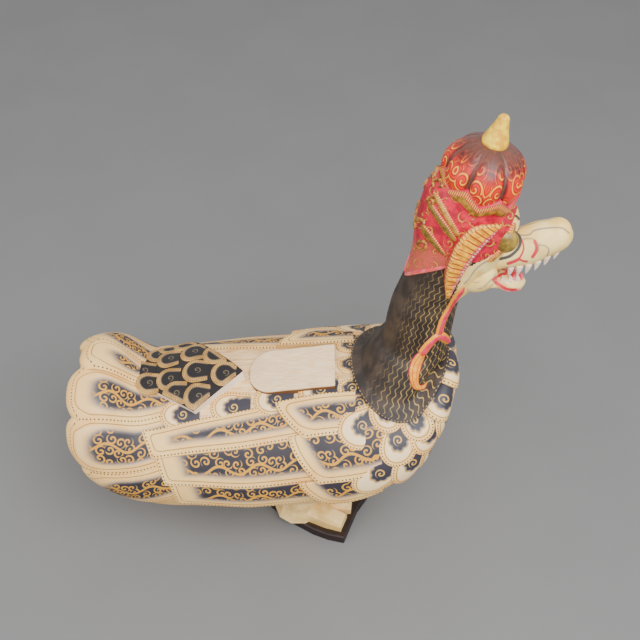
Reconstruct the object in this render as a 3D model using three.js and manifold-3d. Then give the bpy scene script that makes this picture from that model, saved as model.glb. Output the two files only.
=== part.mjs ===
// Carved and painted wooden garuda: a goose-bodied bird with a crowned, toothed head on a tall neck.
// Millimetres, +Z up, the bird faces +X, origin at the middle of the plinth's underside.
import * as THREE from 'three';
import { mergeVertices } from 'three/addons/utils/BufferGeometryUtils.js';
import Module from 'manifold-3d';

const wasm = await Module();
wasm.setup();

// Driving sizes
const figure_height = 652; // from the underside of the plinth to the tip of the finial
const plinth_length = 169; // along the bird
const plinth_width = 204; // across its widest place, under the toes
const plinth_thickness = 16;
const foot_height = 47.2; // from the plinth up to the belly
const foot_margin = 3; // how far the feet stay inside the plinth's edge
const fit_gap = 0.3; // between pieces that rest on each other
const feather_relief = 5; // how far a feather's tip stands above the trunk
const feather_root_relief = 0.8; // how far a feather's root stands above the trunk
const feather_depth = 9; // how far a feather is rooted in the trunk
const feather_tuck = 0.1; // share of a feather's width that lies under its neighbour
const tail_rim_thickness = 22;
const rump_front_relief = 16; // sawn front of the rump
const rump_rear_relief = 2.5;
const seat_rear_relief = 1.5; // raw seat above the back at its round rear end
const seat_front_relief = 3; // raw seat above the back at its sawn front end
const collar_thickness = 7;
const collar_recess = 4.5; // hollow under the collar's edge, over the feather roots
const strap_relief = 3;
const nape_band_relief = 1.5;
const ribbon_relief = 4;
const ear_wing_thickness = 10;
const bun_lobes = 7;

// The free forms are drawn on a grid: the figure is 522 paces high.
const paces_high = 522;
const pace = figure_height / paces_high;
const belly_height = plinth_thickness + foot_height + 2 * fit_gap;

// A grid place as a point: x from the plinth's middle, y across, z above the belly.
function place(x, y, z) {
  return new THREE.Vector3(x * pace, y * pace, belly_height + z * pace);
}

function radians(degrees) {
  return THREE.MathUtils.degToRad(degrees);
}

function mix(start, end, share) {
  return THREE.MathUtils.lerp(start, end, share);
}

function steps(count) {
  return Array.from({ length: count + 1 }, (unused, index) => index / count);
}

// Closed solids

function solid_of(geometry) {
  const bare = geometry.index ? geometry.toNonIndexed() : geometry.clone();
  bare.deleteAttribute('normal');
  bare.deleteAttribute('uv');
  const merged = mergeVertices(bare, 1e-4);
  return new wasm.Manifold(new wasm.Mesh({
    numProp: 3,
    vertProperties: new Float32Array(merged.attributes.position.array),
    triVerts: new Uint32Array(merged.index.array),
  }));
}

function geometry_of(solid) {
  const mesh = solid.getMesh();
  const geometry = new THREE.BufferGeometry();
  const corners = new Float32Array(mesh.vertProperties);
  geometry.setAttribute('position', new THREE.BufferAttribute(corners, 3));
  geometry.setIndex(new THREE.BufferAttribute(new Uint32Array(mesh.triVerts), 1));
  const faceted = geometry.toNonIndexed();
  faceted.computeVertexNormals();
  return faceted;
}

function join(solids) {
  return solids.reduce((whole, solid) => whole.add(solid));
}

function signed_volume(points, triangles) {
  return triangles.reduce((sum, [a, b, c]) => (
    sum + points[a].dot(new THREE.Vector3().crossVectors(points[b], points[c]))
  ), 0);
}

// A solid from its corners and faces, turned so that the faces point out.
function solid_from(points, triangles) {
  const outward = signed_volume(points, triangles) > 0;
  const corners = new Float32Array(points.flatMap((point) => point.toArray()));
  const order = triangles.flatMap(([a, b, c]) => (outward ? [a, b, c] : [a, c, b]));
  const mesh = { numProp: 3, vertProperties: corners, triVerts: new Uint32Array(order) };
  return new wasm.Manifold(new wasm.Mesh(mesh));
}

// A solid through closed rings of equally many points, closed by a pole at each end.
function loft(rings, start_pole, end_pole) {
  const count = rings[0].length;
  const points = [...rings.flat(), start_pole, end_pole];
  const start = points.length - 2;
  const end = points.length - 1;
  const last = (rings.length - 1) * count;
  const triangles = [];
  for (let spot = 0; spot < count; spot += 1) {
    const next = (spot + 1) % count;
    triangles.push([start, next, spot], [end, last + spot, last + next]);
    for (let base = 0; base < last; base += count) {
      triangles.push([base + spot, base + next, base + count + spot]);
      triangles.push([base + next, base + count + next, base + count + spot]);
    }
  }
  return solid_from(points, triangles);
}

// A ring solid: the rings themselves follow one another round a closed path.
function ring_loft(rings) {
  const count = rings[0].length;
  const points = rings.flat();
  const triangles = [];
  rings.forEach((ring, index) => {
    const here = index * count;
    const there = ((index + 1) % rings.length) * count;
    for (let spot = 0; spot < count; spot += 1) {
      const next = (spot + 1) % count;
      triangles.push([here + spot, here + next, there + spot]);
      triangles.push([here + next, there + next, there + spot]);
    }
  });
  return solid_from(points, triangles);
}

// A plate between an upper and a lower sheet, each a grid of rows.
function plate(upper, lower) {
  const rows = upper.length;
  const columns = upper[0].length;
  const points = [...upper.flat(), ...lower.flat()];
  const below = rows * columns;
  const triangles = [];
  const quad = (a, b, c, d) => triangles.push([a, b, c], [a, c, d]);
  for (let row = 0; row < rows - 1; row += 1) {
    for (let column = 0; column < columns - 1; column += 1) {
      const a = row * columns + column;
      quad(a, a + 1, a + columns + 1, a + columns);
      quad(below + a, below + a + columns, below + a + columns + 1, below + a + 1);
    }
  }
  const edge = [];
  for (let column = 0; column < columns - 1; column += 1) edge.push(column);
  for (let row = 0; row < rows - 1; row += 1) edge.push(row * columns + columns - 1);
  for (let column = columns - 1; column > 0; column -= 1) edge.push((rows - 1) * columns + column);
  for (let row = rows - 1; row > 0; row -= 1) edge.push(row * columns);
  edge.forEach((from, index) => {
    const to = edge[(index + 1) % edge.length];
    quad(to, from, below + from, below + to);
  });
  return solid_from(points, triangles);
}

// A shield: an outline round a raised middle, above the same outline lower down.
function shield(upper_edge, upper_middle, lower_edge, lower_middle) {
  const count = upper_edge.length;
  const points = [...upper_edge, ...lower_edge, upper_middle, lower_middle];
  const triangles = [];
  for (let spot = 0; spot < count; spot += 1) {
    const next = (spot + 1) % count;
    triangles.push([2 * count, spot, next], [2 * count + 1, count + next, count + spot]);
    triangles.push([spot, count + spot, next], [next, count + spot, count + next]);
  }
  return solid_from(points, triangles);
}

// Trunk: oval sections along the bird, closed by a blunt, high breast

const trunk_sections = [
  { x: -262, middle: 105, half_width: 66, rise: 62, drop: 30 },
  { x: -220, middle: 90, half_width: 89, rise: 82, drop: 65 },
  { x: -178, middle: 70, half_width: 90, rise: 77, drop: 85 },
  { x: -120, middle: 70, half_width: 95, rise: 79, drop: 84 },
  { x: -62, middle: 74, half_width: 101, rise: 80, drop: 80 },
  { x: 22, middle: 88, half_width: 102, rise: 78, drop: 88 },
  { x: 67, middle: 98, half_width: 104, rise: 76, drop: 82 },
  { x: 107, middle: 121, half_width: 105, rise: 66, drop: 72 },
  { x: 137, middle: 161, half_width: 104, rise: 62, drop: 70 },
  { x: 150, middle: 178, half_width: 104, rise: 62, drop: 70 },
];
const breast_start = -12;
const breast_reach = 161;
const breast_bluntness = 3.6;
const trunk_rear = -243;
const trunk_heart = { x: 67, z: 98 };

// A value of the table at x, on a smooth curve through its entries.
function smooth_value(table, key, x) {
  const inside = table.findIndex((entry) => entry.x > x);
  const upper = inside < 0 ? table.length - 1 : Math.max(inside, 1);
  const slope = (index) => {
    const before = table[Math.max(index - 1, 0)];
    const after = table[Math.min(index + 1, table.length - 1)];
    return (after[key] - before[key]) / (after.x - before.x);
  };
  const [from, to] = [table[upper - 1], table[upper]];
  const width = to.x - from.x;
  const t = (x - from.x) / width;
  const rise = slope(upper - 1) * width;
  const fall = slope(upper) * width;
  return (2 * t ** 3 - 3 * t ** 2 + 1) * from[key] + (t ** 3 - 2 * t ** 2 + t) * rise
    + (3 * t ** 2 - 2 * t ** 3) * to[key] + (t ** 3 - t ** 2) * fall;
}

function trunk_section(x) {
  const share = Math.min(Math.max((x - breast_start) / breast_reach, 0), 1);
  const taper = Math.max(Math.sqrt(1 - share ** breast_bluntness), 1e-4);
  return {
    middle: smooth_value(trunk_sections, 'middle', x),
    half_width: smooth_value(trunk_sections, 'half_width', x) * taper,
    rise: smooth_value(trunk_sections, 'rise', x) * taper,
    drop: smooth_value(trunk_sections, 'drop', x) * taper,
  };
}

// Below 0 inside the trunk, 0 on it and above 0 outside.
function trunk_excess(x, y, z) {
  const section = trunk_section(x);
  const up = z - section.middle;
  return Math.hypot(y / section.half_width, up / (up > 0 ? section.rise : section.drop)) - 1;
}

function trunk_normal(x, y, z) {
  const near = 0.5;
  const along = trunk_excess(x + near, y, z) - trunk_excess(x - near, y, z);
  const across = trunk_excess(x, y + near, z) - trunk_excess(x, y - near, z);
  const upright = trunk_excess(x, y, z + near) - trunk_excess(x, y, z - near);
  return new THREE.Vector3(along, across, upright).normalize();
}

function lifted(x, y, z, lift) {
  return place(x, y, z).addScaledVector(trunk_normal(x, y, z), lift);
}

// A place on the trunk at x and at an angle from the top, positive towards the bird's left.
function on_trunk(x, angle, lift) {
  const section = trunk_section(x);
  const y = section.half_width * Math.sin(radians(angle));
  const up = Math.cos(radians(angle));
  return lifted(x, y, section.middle + (up > 0 ? section.rise : section.drop) * up, lift);
}

// A place on the trunk in a direction from its heart: heading round, droop down from straight up.
function on_breast(heading, droop, lift) {
  const side = Math.sin(radians(droop));
  const step = new THREE.Vector3(
    side * Math.cos(radians(heading)),
    side * Math.sin(radians(heading)),
    Math.cos(radians(droop)),
  );
  let inside = 0;
  let outside = 200;
  for (let halving = 0; halving < 24; halving += 1) {
    const middle = (inside + outside) / 2;
    const x = trunk_heart.x + step.x * middle;
    const reached = x > breast_start + breast_reach
      || trunk_excess(x, step.y * middle, trunk_heart.z + step.z * middle) > 0;
    if (reached) outside = middle;
    else inside = middle;
  }
  return lifted(
    trunk_heart.x + step.x * inside,
    step.y * inside,
    trunk_heart.z + step.z * inside,
    lift,
  );
}

// A place on the trunk's top straight above a place of the plan.
function on_top(x, y, lift) {
  const section = trunk_section(x);
  const up = Math.sqrt(Math.max(1 - (y / section.half_width) ** 2, 0));
  return lifted(x, y, section.middle + section.rise * up, lift);
}

function trunk_core(lift) {
  const around = 16;
  const ring = (x) => steps(around).slice(0, -1).map((turn) => on_trunk(x, 360 * turn, lift));
  const along = [trunk_rear, -215, -170, -110, -45, 22];
  const breast_turns = [20, 38, 60, 78];
  const breast = breast_turns.map((turn) => (
    breast_start + breast_reach * Math.sin(radians(turn)) ** (2 / breast_bluntness)
  ));
  const rings = [...along, ...breast].map(ring);
  const tip = breast_start + breast_reach;
  const rear = trunk_section(trunk_rear);
  const rear_bulge = 4;
  const rear_pole = place(trunk_rear - rear_bulge, 0, rear.middle + (rear.rise - rear.drop) / 2);
  const tip_pole = place(tip, 0, smooth_value(trunk_sections, 'middle', tip));
  tip_pole.x += lift;
  return loft(rings, rear_pole, tip_pole);
}

// Feathers

// A long feather between two edge lines: at(share along, share across) gives x and angle.
function long_feather(at, lift, rows, columns) {
  const sheet = (height) => steps(rows).map((along) => steps(columns).map((across) => {
    const [x, angle] = at(along, across);
    return on_trunk(x, angle, height(along, across));
  }));
  return plate(sheet(lift), sheet(() => -feather_depth));
}

// Three long quills a side, one below the other, with slanting tips
const quill_root = 17;
const quill_tips = [
  { upper: -178.8, lower: -167.3 },
  { upper: -164.7, lower: -154.5 },
  { upper: -151, lower: -144.5 },
];
const quill_lines = [
  { tip: -41.5, root: -22 },
  { tip: -60, root: -46 },
  { tip: -80.5, root: -79 },
  { tip: -102, root: -103.5 },
];
const quill_bend = 1.5;
const quill_reach = quill_root - quill_tips[0].upper;

function quill_line(line, x) {
  const share = Math.max((quill_root - x) / quill_reach, 0);
  return mix(quill_lines[line].root, quill_lines[line].tip, share ** quill_bend);
}

// A share across a feather, whose upper edge is tucked under its neighbour.
function tucked(across) {
  return mix(-feather_tuck, 1, across);
}

function between_lines(line, x, across) {
  return mix(quill_line(line, x), quill_line(line + 1, x), across);
}

function quill(index, side) {
  const tips = quill_tips[index];
  const at = (along, across) => {
    const x = mix(quill_root, mix(tips.upper, tips.lower, across), along);
    return [x, -side * between_lines(index, x, tucked(across))];
  };
  const lift = (along, across) => (
    mix(feather_root_relief, feather_relief, Math.min(2 * along, 1)) * mix(0.5, 1, across)
  );
  return long_feather(at, lift, 5, 2);
}

// Three broad coverts a side over the quills' roots, each with a round lower end
const covert_roots = [44, 70, 72];
const covert_tips = [-38.5, -24.5, -14.5];
const covert_setback = 31;
const covert_roundness = 1.5;

function covert(index, side) {
  const at = (along, across) => {
    const tip = covert_tips[index] + covert_setback * across ** covert_roundness;
    const x = mix(covert_roots[index], tip, along);
    return [x, -side * between_lines(index, x, tucked(across))];
  };
  const lift = (along, across) => (
    feather_relief * mix(0.9, mix(1.35, 1.7, across), Math.min(1.6 * along, 1))
  );
  return long_feather(at, lift, 3, 4);
}

// Seven tail feathers in an arched fan, with thick round ends; the middle one leans to the left
const tail_root = -142;
const tail_tips = [-246, -256.5, -257, -247];
const right_tail_lines = [
  { root: 8, rim: 9 },
  { root: 27, rim: 50 },
  { root: 60, rim: 92 },
  { root: 97, rim: 133 },
];
const left_tail_lines = [
  { root: 3, rim: 25 },
  { root: 28, rim: 60 },
  { root: 62, rim: 97 },
  { root: 97, rim: 133 },
];
const tail_notch = 9;

function tail_feather(index, side) {
  const lines = side > 0 ? left_tail_lines : right_tail_lines;
  const across_middle = { root: -right_tail_lines[0].root, rim: -right_tail_lines[0].rim };
  const inner = index === 0 ? across_middle : lines[index - 1];
  const outer = lines[index];
  const at = (along, across) => {
    const notch = tail_notch * Math.abs(2 * across - 1) ** 3;
    const x = mix(tail_root, tail_tips[index] + notch, along);
    const spread = index === 0 ? across : tucked(across);
    const start = mix(inner.root, outer.root, spread);
    return [x, side * mix(start, mix(inner.rim, outer.rim, spread), along)];
  };
  const rim_start = 0.86;
  const roll = (along) => Math.max((along - rim_start) / (1 - rim_start), 0);
  const flare = index === 0 ? 2 * feather_relief : feather_relief;
  const lift = (along, across) => {
    const sunk = index === 0 ? 0 : 0.3 * (1 - across) ** 4;
    const crown = 1 - 0.3 * Math.abs(2 * across - 1) ** 4 - sunk;
    const top = mix(feather_root_relief, flare, along) * crown;
    return top - 0.5 * tail_rim_thickness * (1 - Math.sqrt(1 - roll(along) ** 2));
  };
  const depth = (along) => {
    const whole = mix(feather_depth, tail_rim_thickness, along);
    return whole * Math.max(Math.sqrt(1 - roll(along) ** 2), 0.3);
  };
  const rows = [0, 0.45, rim_start, 0.96, 1];
  const sheet = (below) => rows.map((along) => steps(4).map((across) => {
    const [x, angle] = at(along, across);
    return on_trunk(x, angle, lift(along, across) - (below ? depth(along) : 0));
  }));
  return plate(sheet(false), sheet(true));
}

// A round scale: spot(along, across) is a place on the trunk, in shares of its length and width.
function scale_feather(spot, root_lift, tip_lift) {
  const edge_places = [[0, -0.42], [0, 0.42]];
  const arc = [90, 32, -32, -90];
  arc.forEach((turn) => {
    const reach = Math.cos(radians(turn));
    edge_places.push([0.5 + 0.5 * reach, 0.5 * Math.sin(radians(turn))]);
  });
  const lift_at = (along) => mix(root_lift, tip_lift, along);
  const upper = edge_places.map(([along, across]) => spot(along, across, lift_at(along)));
  const lower = edge_places.map(([along, across]) => spot(along, across, -feather_depth));
  const doming = 0.2 * tip_lift;
  return shield(
    upper,
    spot(0.55, 0, lift_at(0.55) + doming),
    lower,
    spot(0.55, 0, -feather_depth),
  );
}

// Scales round the collar and down the breast, in degrees of heading and droop: the heading and
// droop of each root, those of its tip, and the turn from its middle to its side edge
const breast_scale_places = [
  [180, 13, 180, 31, 24, 0],
  [119, 24, 143, 39, -16, 6],
  [3, 36, 30, 45, -5, 8],
  [30, 42, 49, 56, -8, 7],
  [57, 44, 66, 64, -10.5, 4],
  [82, 32, 87, 56.5, -15.5, 4],
  [90, 45, 118.5, 63.5, -12.5, 10.5],
  [73, 50, 81, 77, -12.5, 2.5],
  [50, 52, 65, 72, -9, 5],
  [34, 51, 44, 72, -12, 4],
  [12, 48, 18, 70, -14, 3],
  [79, 70, 102, 95, -9.5, 7],
  [63, 65, 78, 93, -10, 5],
  [48, 66, 58, 92, -11, 4],
  [28, 66, 34, 92, -13, 3],
  [0, 62, 0, 88, -14, 0],
];
const flat_tip_heading = 120; // scales whose tips lie further back are flat and reach under the seat
const first_row_droop = 35;
const row_droop = 19;

function breast_scale([root, root_droop, tip, tip_droop, side_turn, side_droop], side) {
  const spot = (along, across, lift) => on_breast(
    side * (mix(root, tip, along) + 2 * side_turn * across),
    mix(root_droop, tip_droop, along) + 2 * side_droop * across,
    lift,
  );
  if (tip > flat_tip_heading) return scale_feather(spot, 0.5, 2.5);
  const row = (root_droop - first_row_droop) / row_droop;
  const root_lift = (0.25 + 0.1 * row) * feather_relief;
  return scale_feather(spot, root_lift, root_lift + feather_relief);
}

function breast_scales() {
  return breast_scale_places.flatMap((places) => {
    const on_middle = places[0] % 180 === 0;
    return (on_middle ? [1] : [1, -1]).map((side) => breast_scale(places, side));
  });
}

// A row of scales between the seat and the right wing; the wood beside the left wing is plain
const back_scale_places = [14, -32, -77, -130];
const back_scale_reach = 42;
const back_scale_angles = { rear: -28, front: -16.5 };

function back_scale(x) {
  const share = (x - back_scale_places[3]) / (back_scale_places[0] - back_scale_places[3]);
  const angle = mix(back_scale_angles.rear, back_scale_angles.front, share);
  const spot = (along, across, lift) => (
    on_trunk(x - back_scale_reach * (along - 0.3), angle + 22 * across, lift)
  );
  return scale_feather(spot, feather_root_relief, 0.6 * feather_relief);
}

// Rump: a raised shield with sawn front faces, covered with small dark scales
const rump_front = -72;
const rump_rear = -190;
const rump_left_edge = [[-72, -3.3], [-135, 31.5], [-167, 32], [-177, 24], [-190, 1]];
const rump_right_edge = [[-72, -3.9], [-121.5, -28], [-171.5, -11], [-190, -4]];

function rump_lift(x) {
  const share = Math.min(Math.max((x - rump_rear) / 65, 0), 1);
  return mix(rump_rear_relief, rump_front_relief, share);
}

// The angle of an edge at x, on straight lines between its corners.
function edge_angle(edge, x) {
  const next = Math.max(edge.findIndex(([corner]) => corner <= x), 1);
  const [from, to] = [edge[next - 1], edge[next]];
  return mix(from[1], to[1], (x - from[0]) / (to[0] - from[0]));
}

function rump() {
  const rows = [rump_front, -84, -96, -108, -121.5, -135, -151, -167, -177, rump_rear];
  const sheet = (depth) => rows.map((x) => steps(4).map((across) => on_trunk(
    x,
    mix(edge_angle(rump_right_edge, x), edge_angle(rump_left_edge, x), across),
    depth < 0 ? depth : rump_lift(x),
  )));
  return plate(sheet(0), sheet(-feather_depth));
}

// Seat: a raw sawn stump on the back, round behind and cut straight in front
const seat_length = 91;
const seat_half_width = 30;
const seat_front = 23;

function seat() {
  const outline = new THREE.Shape();
  const round = 24;
  const rear = seat_front - seat_length;
  outline.moveTo(seat_front * pace, -seat_half_width * pace);
  outline.lineTo(seat_front * pace, seat_half_width * pace);
  outline.lineTo((rear + round) * pace, seat_half_width * pace);
  outline.absellipse((rear + round) * pace, 0, round * pace, seat_half_width * pace,
    Math.PI / 2, 1.5 * Math.PI, false, 0);
  outline.closePath();
  const block = new THREE.ExtrudeGeometry(outline, {
    depth: 60 * pace,
    bevelEnabled: false,
    curveSegments: 6,
  });
  const rear_top = on_top(rear, 0, seat_rear_relief);
  const front_top = on_top(seat_front, 0, seat_front_relief);
  const slope = Math.atan2(front_top.z - rear_top.z, front_top.x - rear_top.x);
  block.translate(-seat_front * pace, 0, -60 * pace);
  block.rotateY(-slope);
  block.translate(front_top.x, 0, front_top.z);
  return solid_of(block);
}

// Room for the neck's foot and for the collar round it, cut out of the scales and feathers
function neck_room() {
  const foot = 0.875; // share of the collar's size
  const reach = 1.03;
  const under = collar_recess - 0.7;
  const height = 40;
  const rings = [
    collar_ring(foot, -feather_depth),
    collar_ring(foot, under),
    collar_ring(reach, under),
    collar_ring(reach, height),
  ];
  return loft(rings, on_top(collar.x, 0, -feather_depth), on_top(collar.x, 0, height));
}

function body() {
  const feathers = [];
  [1, -1].forEach((side) => {
    for (let index = 0; index < quill_tips.length; index += 1) {
      feathers.push(quill(index, side), covert(index, side));
    }
    for (let index = 1; index < tail_tips.length; index += 1) {
      feathers.push(tail_feather(index, side));
    }
  });
  back_scale_places.forEach((x) => feathers.push(back_scale(x)));
  feathers.push(tail_feather(0, 1));
  const carved = join([...feathers, ...breast_scales()]).subtract(neck_room());
  return join([trunk_core(0), carved, rump(), seat()]);
}

// Neck and head

const collar = { x: 90, half_length: 50, half_width: 67 };
const neck_around = 16;
const neck_rings = [
  { back: [63, 200], front: [136.5, 200], half_width: 41 },
  { back: [71, 213], front: [139, 213], half_width: 34 },
  { back: [74.5, 240], front: [140.5, 240], half_width: 32.5 },
  { back: [78, 262], front: [142, 262], half_width: 31.5 },
  { back: [84, 283], front: [145, 278], half_width: 31 },
  { back: [89.5, 303], front: [156, 292], half_width: 32.5 },
];
const skull_rings = [
  { back: [92.5, 325], front: [172, 314], half_width: 34.5 },
  { back: [93.5, 349], front: [181, 341], half_width: 37 },
  { back: [94.5, 366], front: [186.5, 361], half_width: 38 },
  { back: [97.5, 387], front: [184, 374], half_width: 36 },
  { back: [102.5, 402], front: [179, 382], half_width: 33 },
  { back: [110, 413], front: [178, 389], half_width: 34 },
];

function turns(count) {
  return steps(count).slice(0, -1).map((turn) => 2 * Math.PI * turn);
}

function collar_ring(share, lift) {
  return turns(neck_around).map((turn) => on_top(
    collar.x + share * collar.half_length * Math.cos(turn),
    share * collar.half_width * Math.sin(turn),
    lift,
  ));
}

// An oval ring square to the bird's middle plane, between a back and a front place of it.
function oval_ring(back, front, half_width, count) {
  return turns(count).map((turn) => {
    const share = (1 + Math.cos(turn)) / 2;
    const x = mix(back[0], front[0], share);
    return place(x, half_width * Math.sin(turn), mix(back[1], front[1], share));
  });
}

// Neck and skull in one sweep, from the collar on the back up to the crown
function neck_and_skull() {
  const under = [
    collar_ring(0.3, fit_gap),
    collar_ring(0.8, fit_gap),
    collar_ring(0.86, collar_recess),
    collar_ring(0.99, collar_recess),
  ];
  const over = [
    collar_ring(1, collar_recess + 0.25 * collar_thickness),
    collar_ring(0.985, collar_thickness),
    collar_ring(0.83, collar_thickness + 1),
    collar_ring(0.74, collar_thickness + 5),
  ];
  const rings = [...neck_rings, ...skull_rings].map((ring) => (
    oval_ring(ring.back, ring.front, ring.half_width, neck_around)
  ));
  return loft([...under, ...over, ...rings], on_top(collar.x, 0, fit_gap), place(146, 0, 402));
}

// Oval rings along the snout or the jaw: x, height, half width and half height of each.
function muzzle_loft(stations, start, end) {
  const rings = stations.map(([x, z, half_width, half_height]) => turns(10).map((turn) => place(
    x,
    half_width * Math.sin(turn),
    z + half_height * Math.cos(turn),
  )));
  return loft(rings, place(...start), place(...end));
}

function snout() {
  const stations = [
    [162, 325, 20, 17],
    [180, 326.5, 18, 17],
    [193, 330.5, 17.5, 19.5],
    [205, 335, 17.5, 21],
    [216, 340, 16.5, 18.5],
    [225, 344, 15.5, 17],
    [233, 345, 11.5, 12.5],
  ];
  return muzzle_loft(stations, [156, 0, 325], [239, 0, 343]);
}

function jaw() {
  const stations = [
    [150, 299, 22, 12],
    [172, 294, 15.5, 7.5],
    [187, 289.5, 13, 9],
    [198, 287.5, 9.5, 7.5],
  ];
  return muzzle_loft(stations, [146, 0, 299], [205, 0, 287]);
}

// Rounded lumps of the head, on the bird's left: centre and radii of each
const eye = { centre: [171.5, 26, 358.5], radii: [11.5, 8, 12] };
const jowl = { centre: [152, 17.5, 311], radii: [20, 15.5, 17] };
const ribbon_knot = { centre: [141, 0, 206], radii: [5, 9, 9] };

function ball({ centre, radii }, side) {
  const geometry = new THREE.SphereGeometry(1, 8, 5);
  geometry.scale(radii[0] * pace, radii[1] * pace, radii[2] * pace);
  const middle = place(centre[0], side * centre[1], centre[2]);
  geometry.translate(middle.x, middle.y, middle.z);
  return solid_of(geometry);
}

function tooth(x, y, z, length, downward) {
  const geometry = new THREE.ConeGeometry(3.1 * pace, length * pace, 3);
  geometry.rotateX(downward ? -Math.PI / 2 : Math.PI / 2);
  const middle = place(x, y, z);
  geometry.translate(middle.x, middle.y, middle.z);
  return solid_of(geometry);
}

function teeth() {
  const rows = [];
  [1, -1].forEach((side) => {
    steps(5).forEach((share) => {
      const x = mix(184, 224, share);
      const half = mix(14.5, 10.5, share ** 2);
      rows.push(tooth(x, side * half, mix(311.5, 329.5, share ** 2), 12, true));
    });
    steps(2).forEach((share) => {
      const x = mix(180, 195, share);
      rows.push(tooth(x, side * mix(10.5, 6, share), mix(300, 296.5, share), 9, false));
    });
  });
  return rows;
}

// Bun: a lobed ball that leans a little forward, with a tapering finial
const bun = { x: 148, z: 415.5, radius: 37.4, half_height: 30, lean: 11, seam: 33 };

function bun_place(radius, turn, z) {
  const lean = radians(bun.lean);
  const x = radius * Math.cos(turn);
  return place(
    bun.x + x * Math.cos(lean) + z * Math.sin(lean),
    radius * Math.sin(turn),
    bun.z - x * Math.sin(lean) + z * Math.cos(lean),
  );
}

function bun_ball() {
  const heights = [-42, -12, 20, 54];
  const rings = heights.map((height) => {
    const radius = bun.radius * Math.cos(radians(height));
    return turns(4 * bun_lobes).map((turn) => {
      const lobe = Math.abs(Math.sin(0.5 * bun_lobes * turn)) ** 0.6;
      const pinch = mix(0.14, 0.03, Math.abs(height) / 90);
      const z = bun.half_height * Math.sin(radians(height));
      return bun_place(radius * (1 - pinch + pinch * lobe), turn + radians(bun.seam), z);
    });
  });
  const top = bun_place(0, 0, bun.half_height * 0.94);
  return loft(rings, bun_place(0, 0, -bun.half_height * 0.8), top);
}

function finial() {
  const profile = [
    [0, -8], [9, -8], [11.5, 0], [11, 4], [8, 12.5], [5.4, 21], [4.6, 24.5], [3, 26.3], [0, 26.7],
  ];
  const foot = 29.3;
  const rings = profile.slice(1, -1).map(([radius, height]) => turns(8).map((turn) => (
    bun_place(radius, turn, foot + height)
  )));
  return loft(rings, bun_place(0, 0, foot + profile[0][1]), bun_place(0, 0, foot + profile[8][1]));
}

// Rim of the crown: a zigzag band whose points rise between the bun's lobes
function crown_rim() {
  const lean = radians(18);
  const corner = (turn, radius, height) => {
    const x = radius * Math.cos(turn);
    return place(
      144.5 + x * Math.cos(lean) + height * Math.sin(lean),
      radius * Math.sin(turn),
      400 - x * Math.sin(lean) + height * Math.cos(lean),
    );
  };
  const rings = turns(2 * bun_lobes).map((spread, index) => {
    const turn = spread + radians(bun.seam);
    const wave = 1 - index % 2;
    const top = 2 + 10 * wave;
    const low = -9 + 6 * wave;
    return [
      corner(turn, 35.5, low),
      corner(turn, 36.5, top),
      corner(turn, 30, top + 1),
      corner(turn, 24, low),
    ];
  });
  return ring_loft(rings);
}

// Ear wing: a crescent standing off the side of the head
const ear_wing_reach = 0.985; // how far along its edges the crescent runs

function ear_wing(side) {
  const upper = new THREE.CatmullRomCurve3([
    place(123, 0, 301), place(120, 0, 322), place(120.5, 0, 344), place(126, 0, 368),
    place(139, 0, 385.5), place(163.5, 0, 387.5),
  ]);
  const lower = new THREE.CatmullRomCurve3([
    place(127, 0, 301), place(132, 0, 322), place(139, 0, 343), place(147.5, 0, 360),
    place(156.5, 0, 375), place(163.5, 0, 387),
  ]);
  const rows = steps(8).map((share) => [
    lower.getPoint(share * ear_wing_reach),
    upper.getPoint(share * ear_wing_reach),
  ]);
  const flare = (share) => 39 + 4 * Math.sin(Math.PI * share);
  const sheet = (depth) => rows.map((row, index) => {
    const y = flare(index / (rows.length - 1)) * pace - depth;
    return row.map((point) => new THREE.Vector3(point.x, side * y, point.z));
  });
  return plate(sheet(0), sheet(ear_wing_thickness));
}

// A raised band along places on the side of the head or neck.
function band(places, half_widths, side, rise, depth) {
  const path = new THREE.CatmullRomCurve3(places.map(([x, y, z]) => place(x, side * y, z)));
  const centre_x = 118;
  const rows = steps(places.length - 1).map((share) => {
    const point = path.getPoint(share);
    const tangent = path.getTangent(share);
    const outward = new THREE.Vector3(0.35 * (point.x - centre_x * pace), point.y, 0).normalize();
    const across = new THREE.Vector3().crossVectors(tangent, outward).normalize();
    const slot = share * (half_widths.length - 1);
    const low = Math.min(Math.floor(slot), half_widths.length - 2);
    const half = mix(half_widths[low], half_widths[low + 1], slot - low) * pace;
    return { point, outward, across, half };
  });
  const sheet = (lift) => rows.map(({ point, outward, across, half }) => [-1, 1].map((edge) => (
    point.clone().addScaledVector(across, edge * half).addScaledVector(outward, lift)
  )));
  return plate(sheet(rise), sheet(-depth));
}

function crown_straps(side) {
  const strap_paths = [
    [[102, 18, 402.5], [108, 25, 398], [118, 32, 387], [128.5, 35.5, 371.5]],
    [[98, 14.5, 389.5], [106, 25, 387.5], [116, 32.5, 379], [126, 36, 366.5]],
    [[95, 10, 358], [100, 20, 358], [109, 28.5, 357], [119, 34, 348.5]],
  ];
  return strap_paths.map((path) => band(path, [4.5, 5, 5, 3], side, strap_relief, 6));
}

// A narrow band from the middle of the nape up to the ear wing
function nape_band(side) {
  const path = [[89.5, 0, 296], [93, 15, 300], [99, 24, 307], [109, 30, 320], [119, 34, 334]];
  return band(path, [3, 3], side, nape_band_relief, 6);
}

function brow(side) {
  const path = [[156, 36, 343], [163.5, 37, 354], [169.5, 35, 370], [173, 31, 384]];
  return band(path, [4, 6, 5, 4], side, strap_relief + 2, 8);
}

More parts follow.
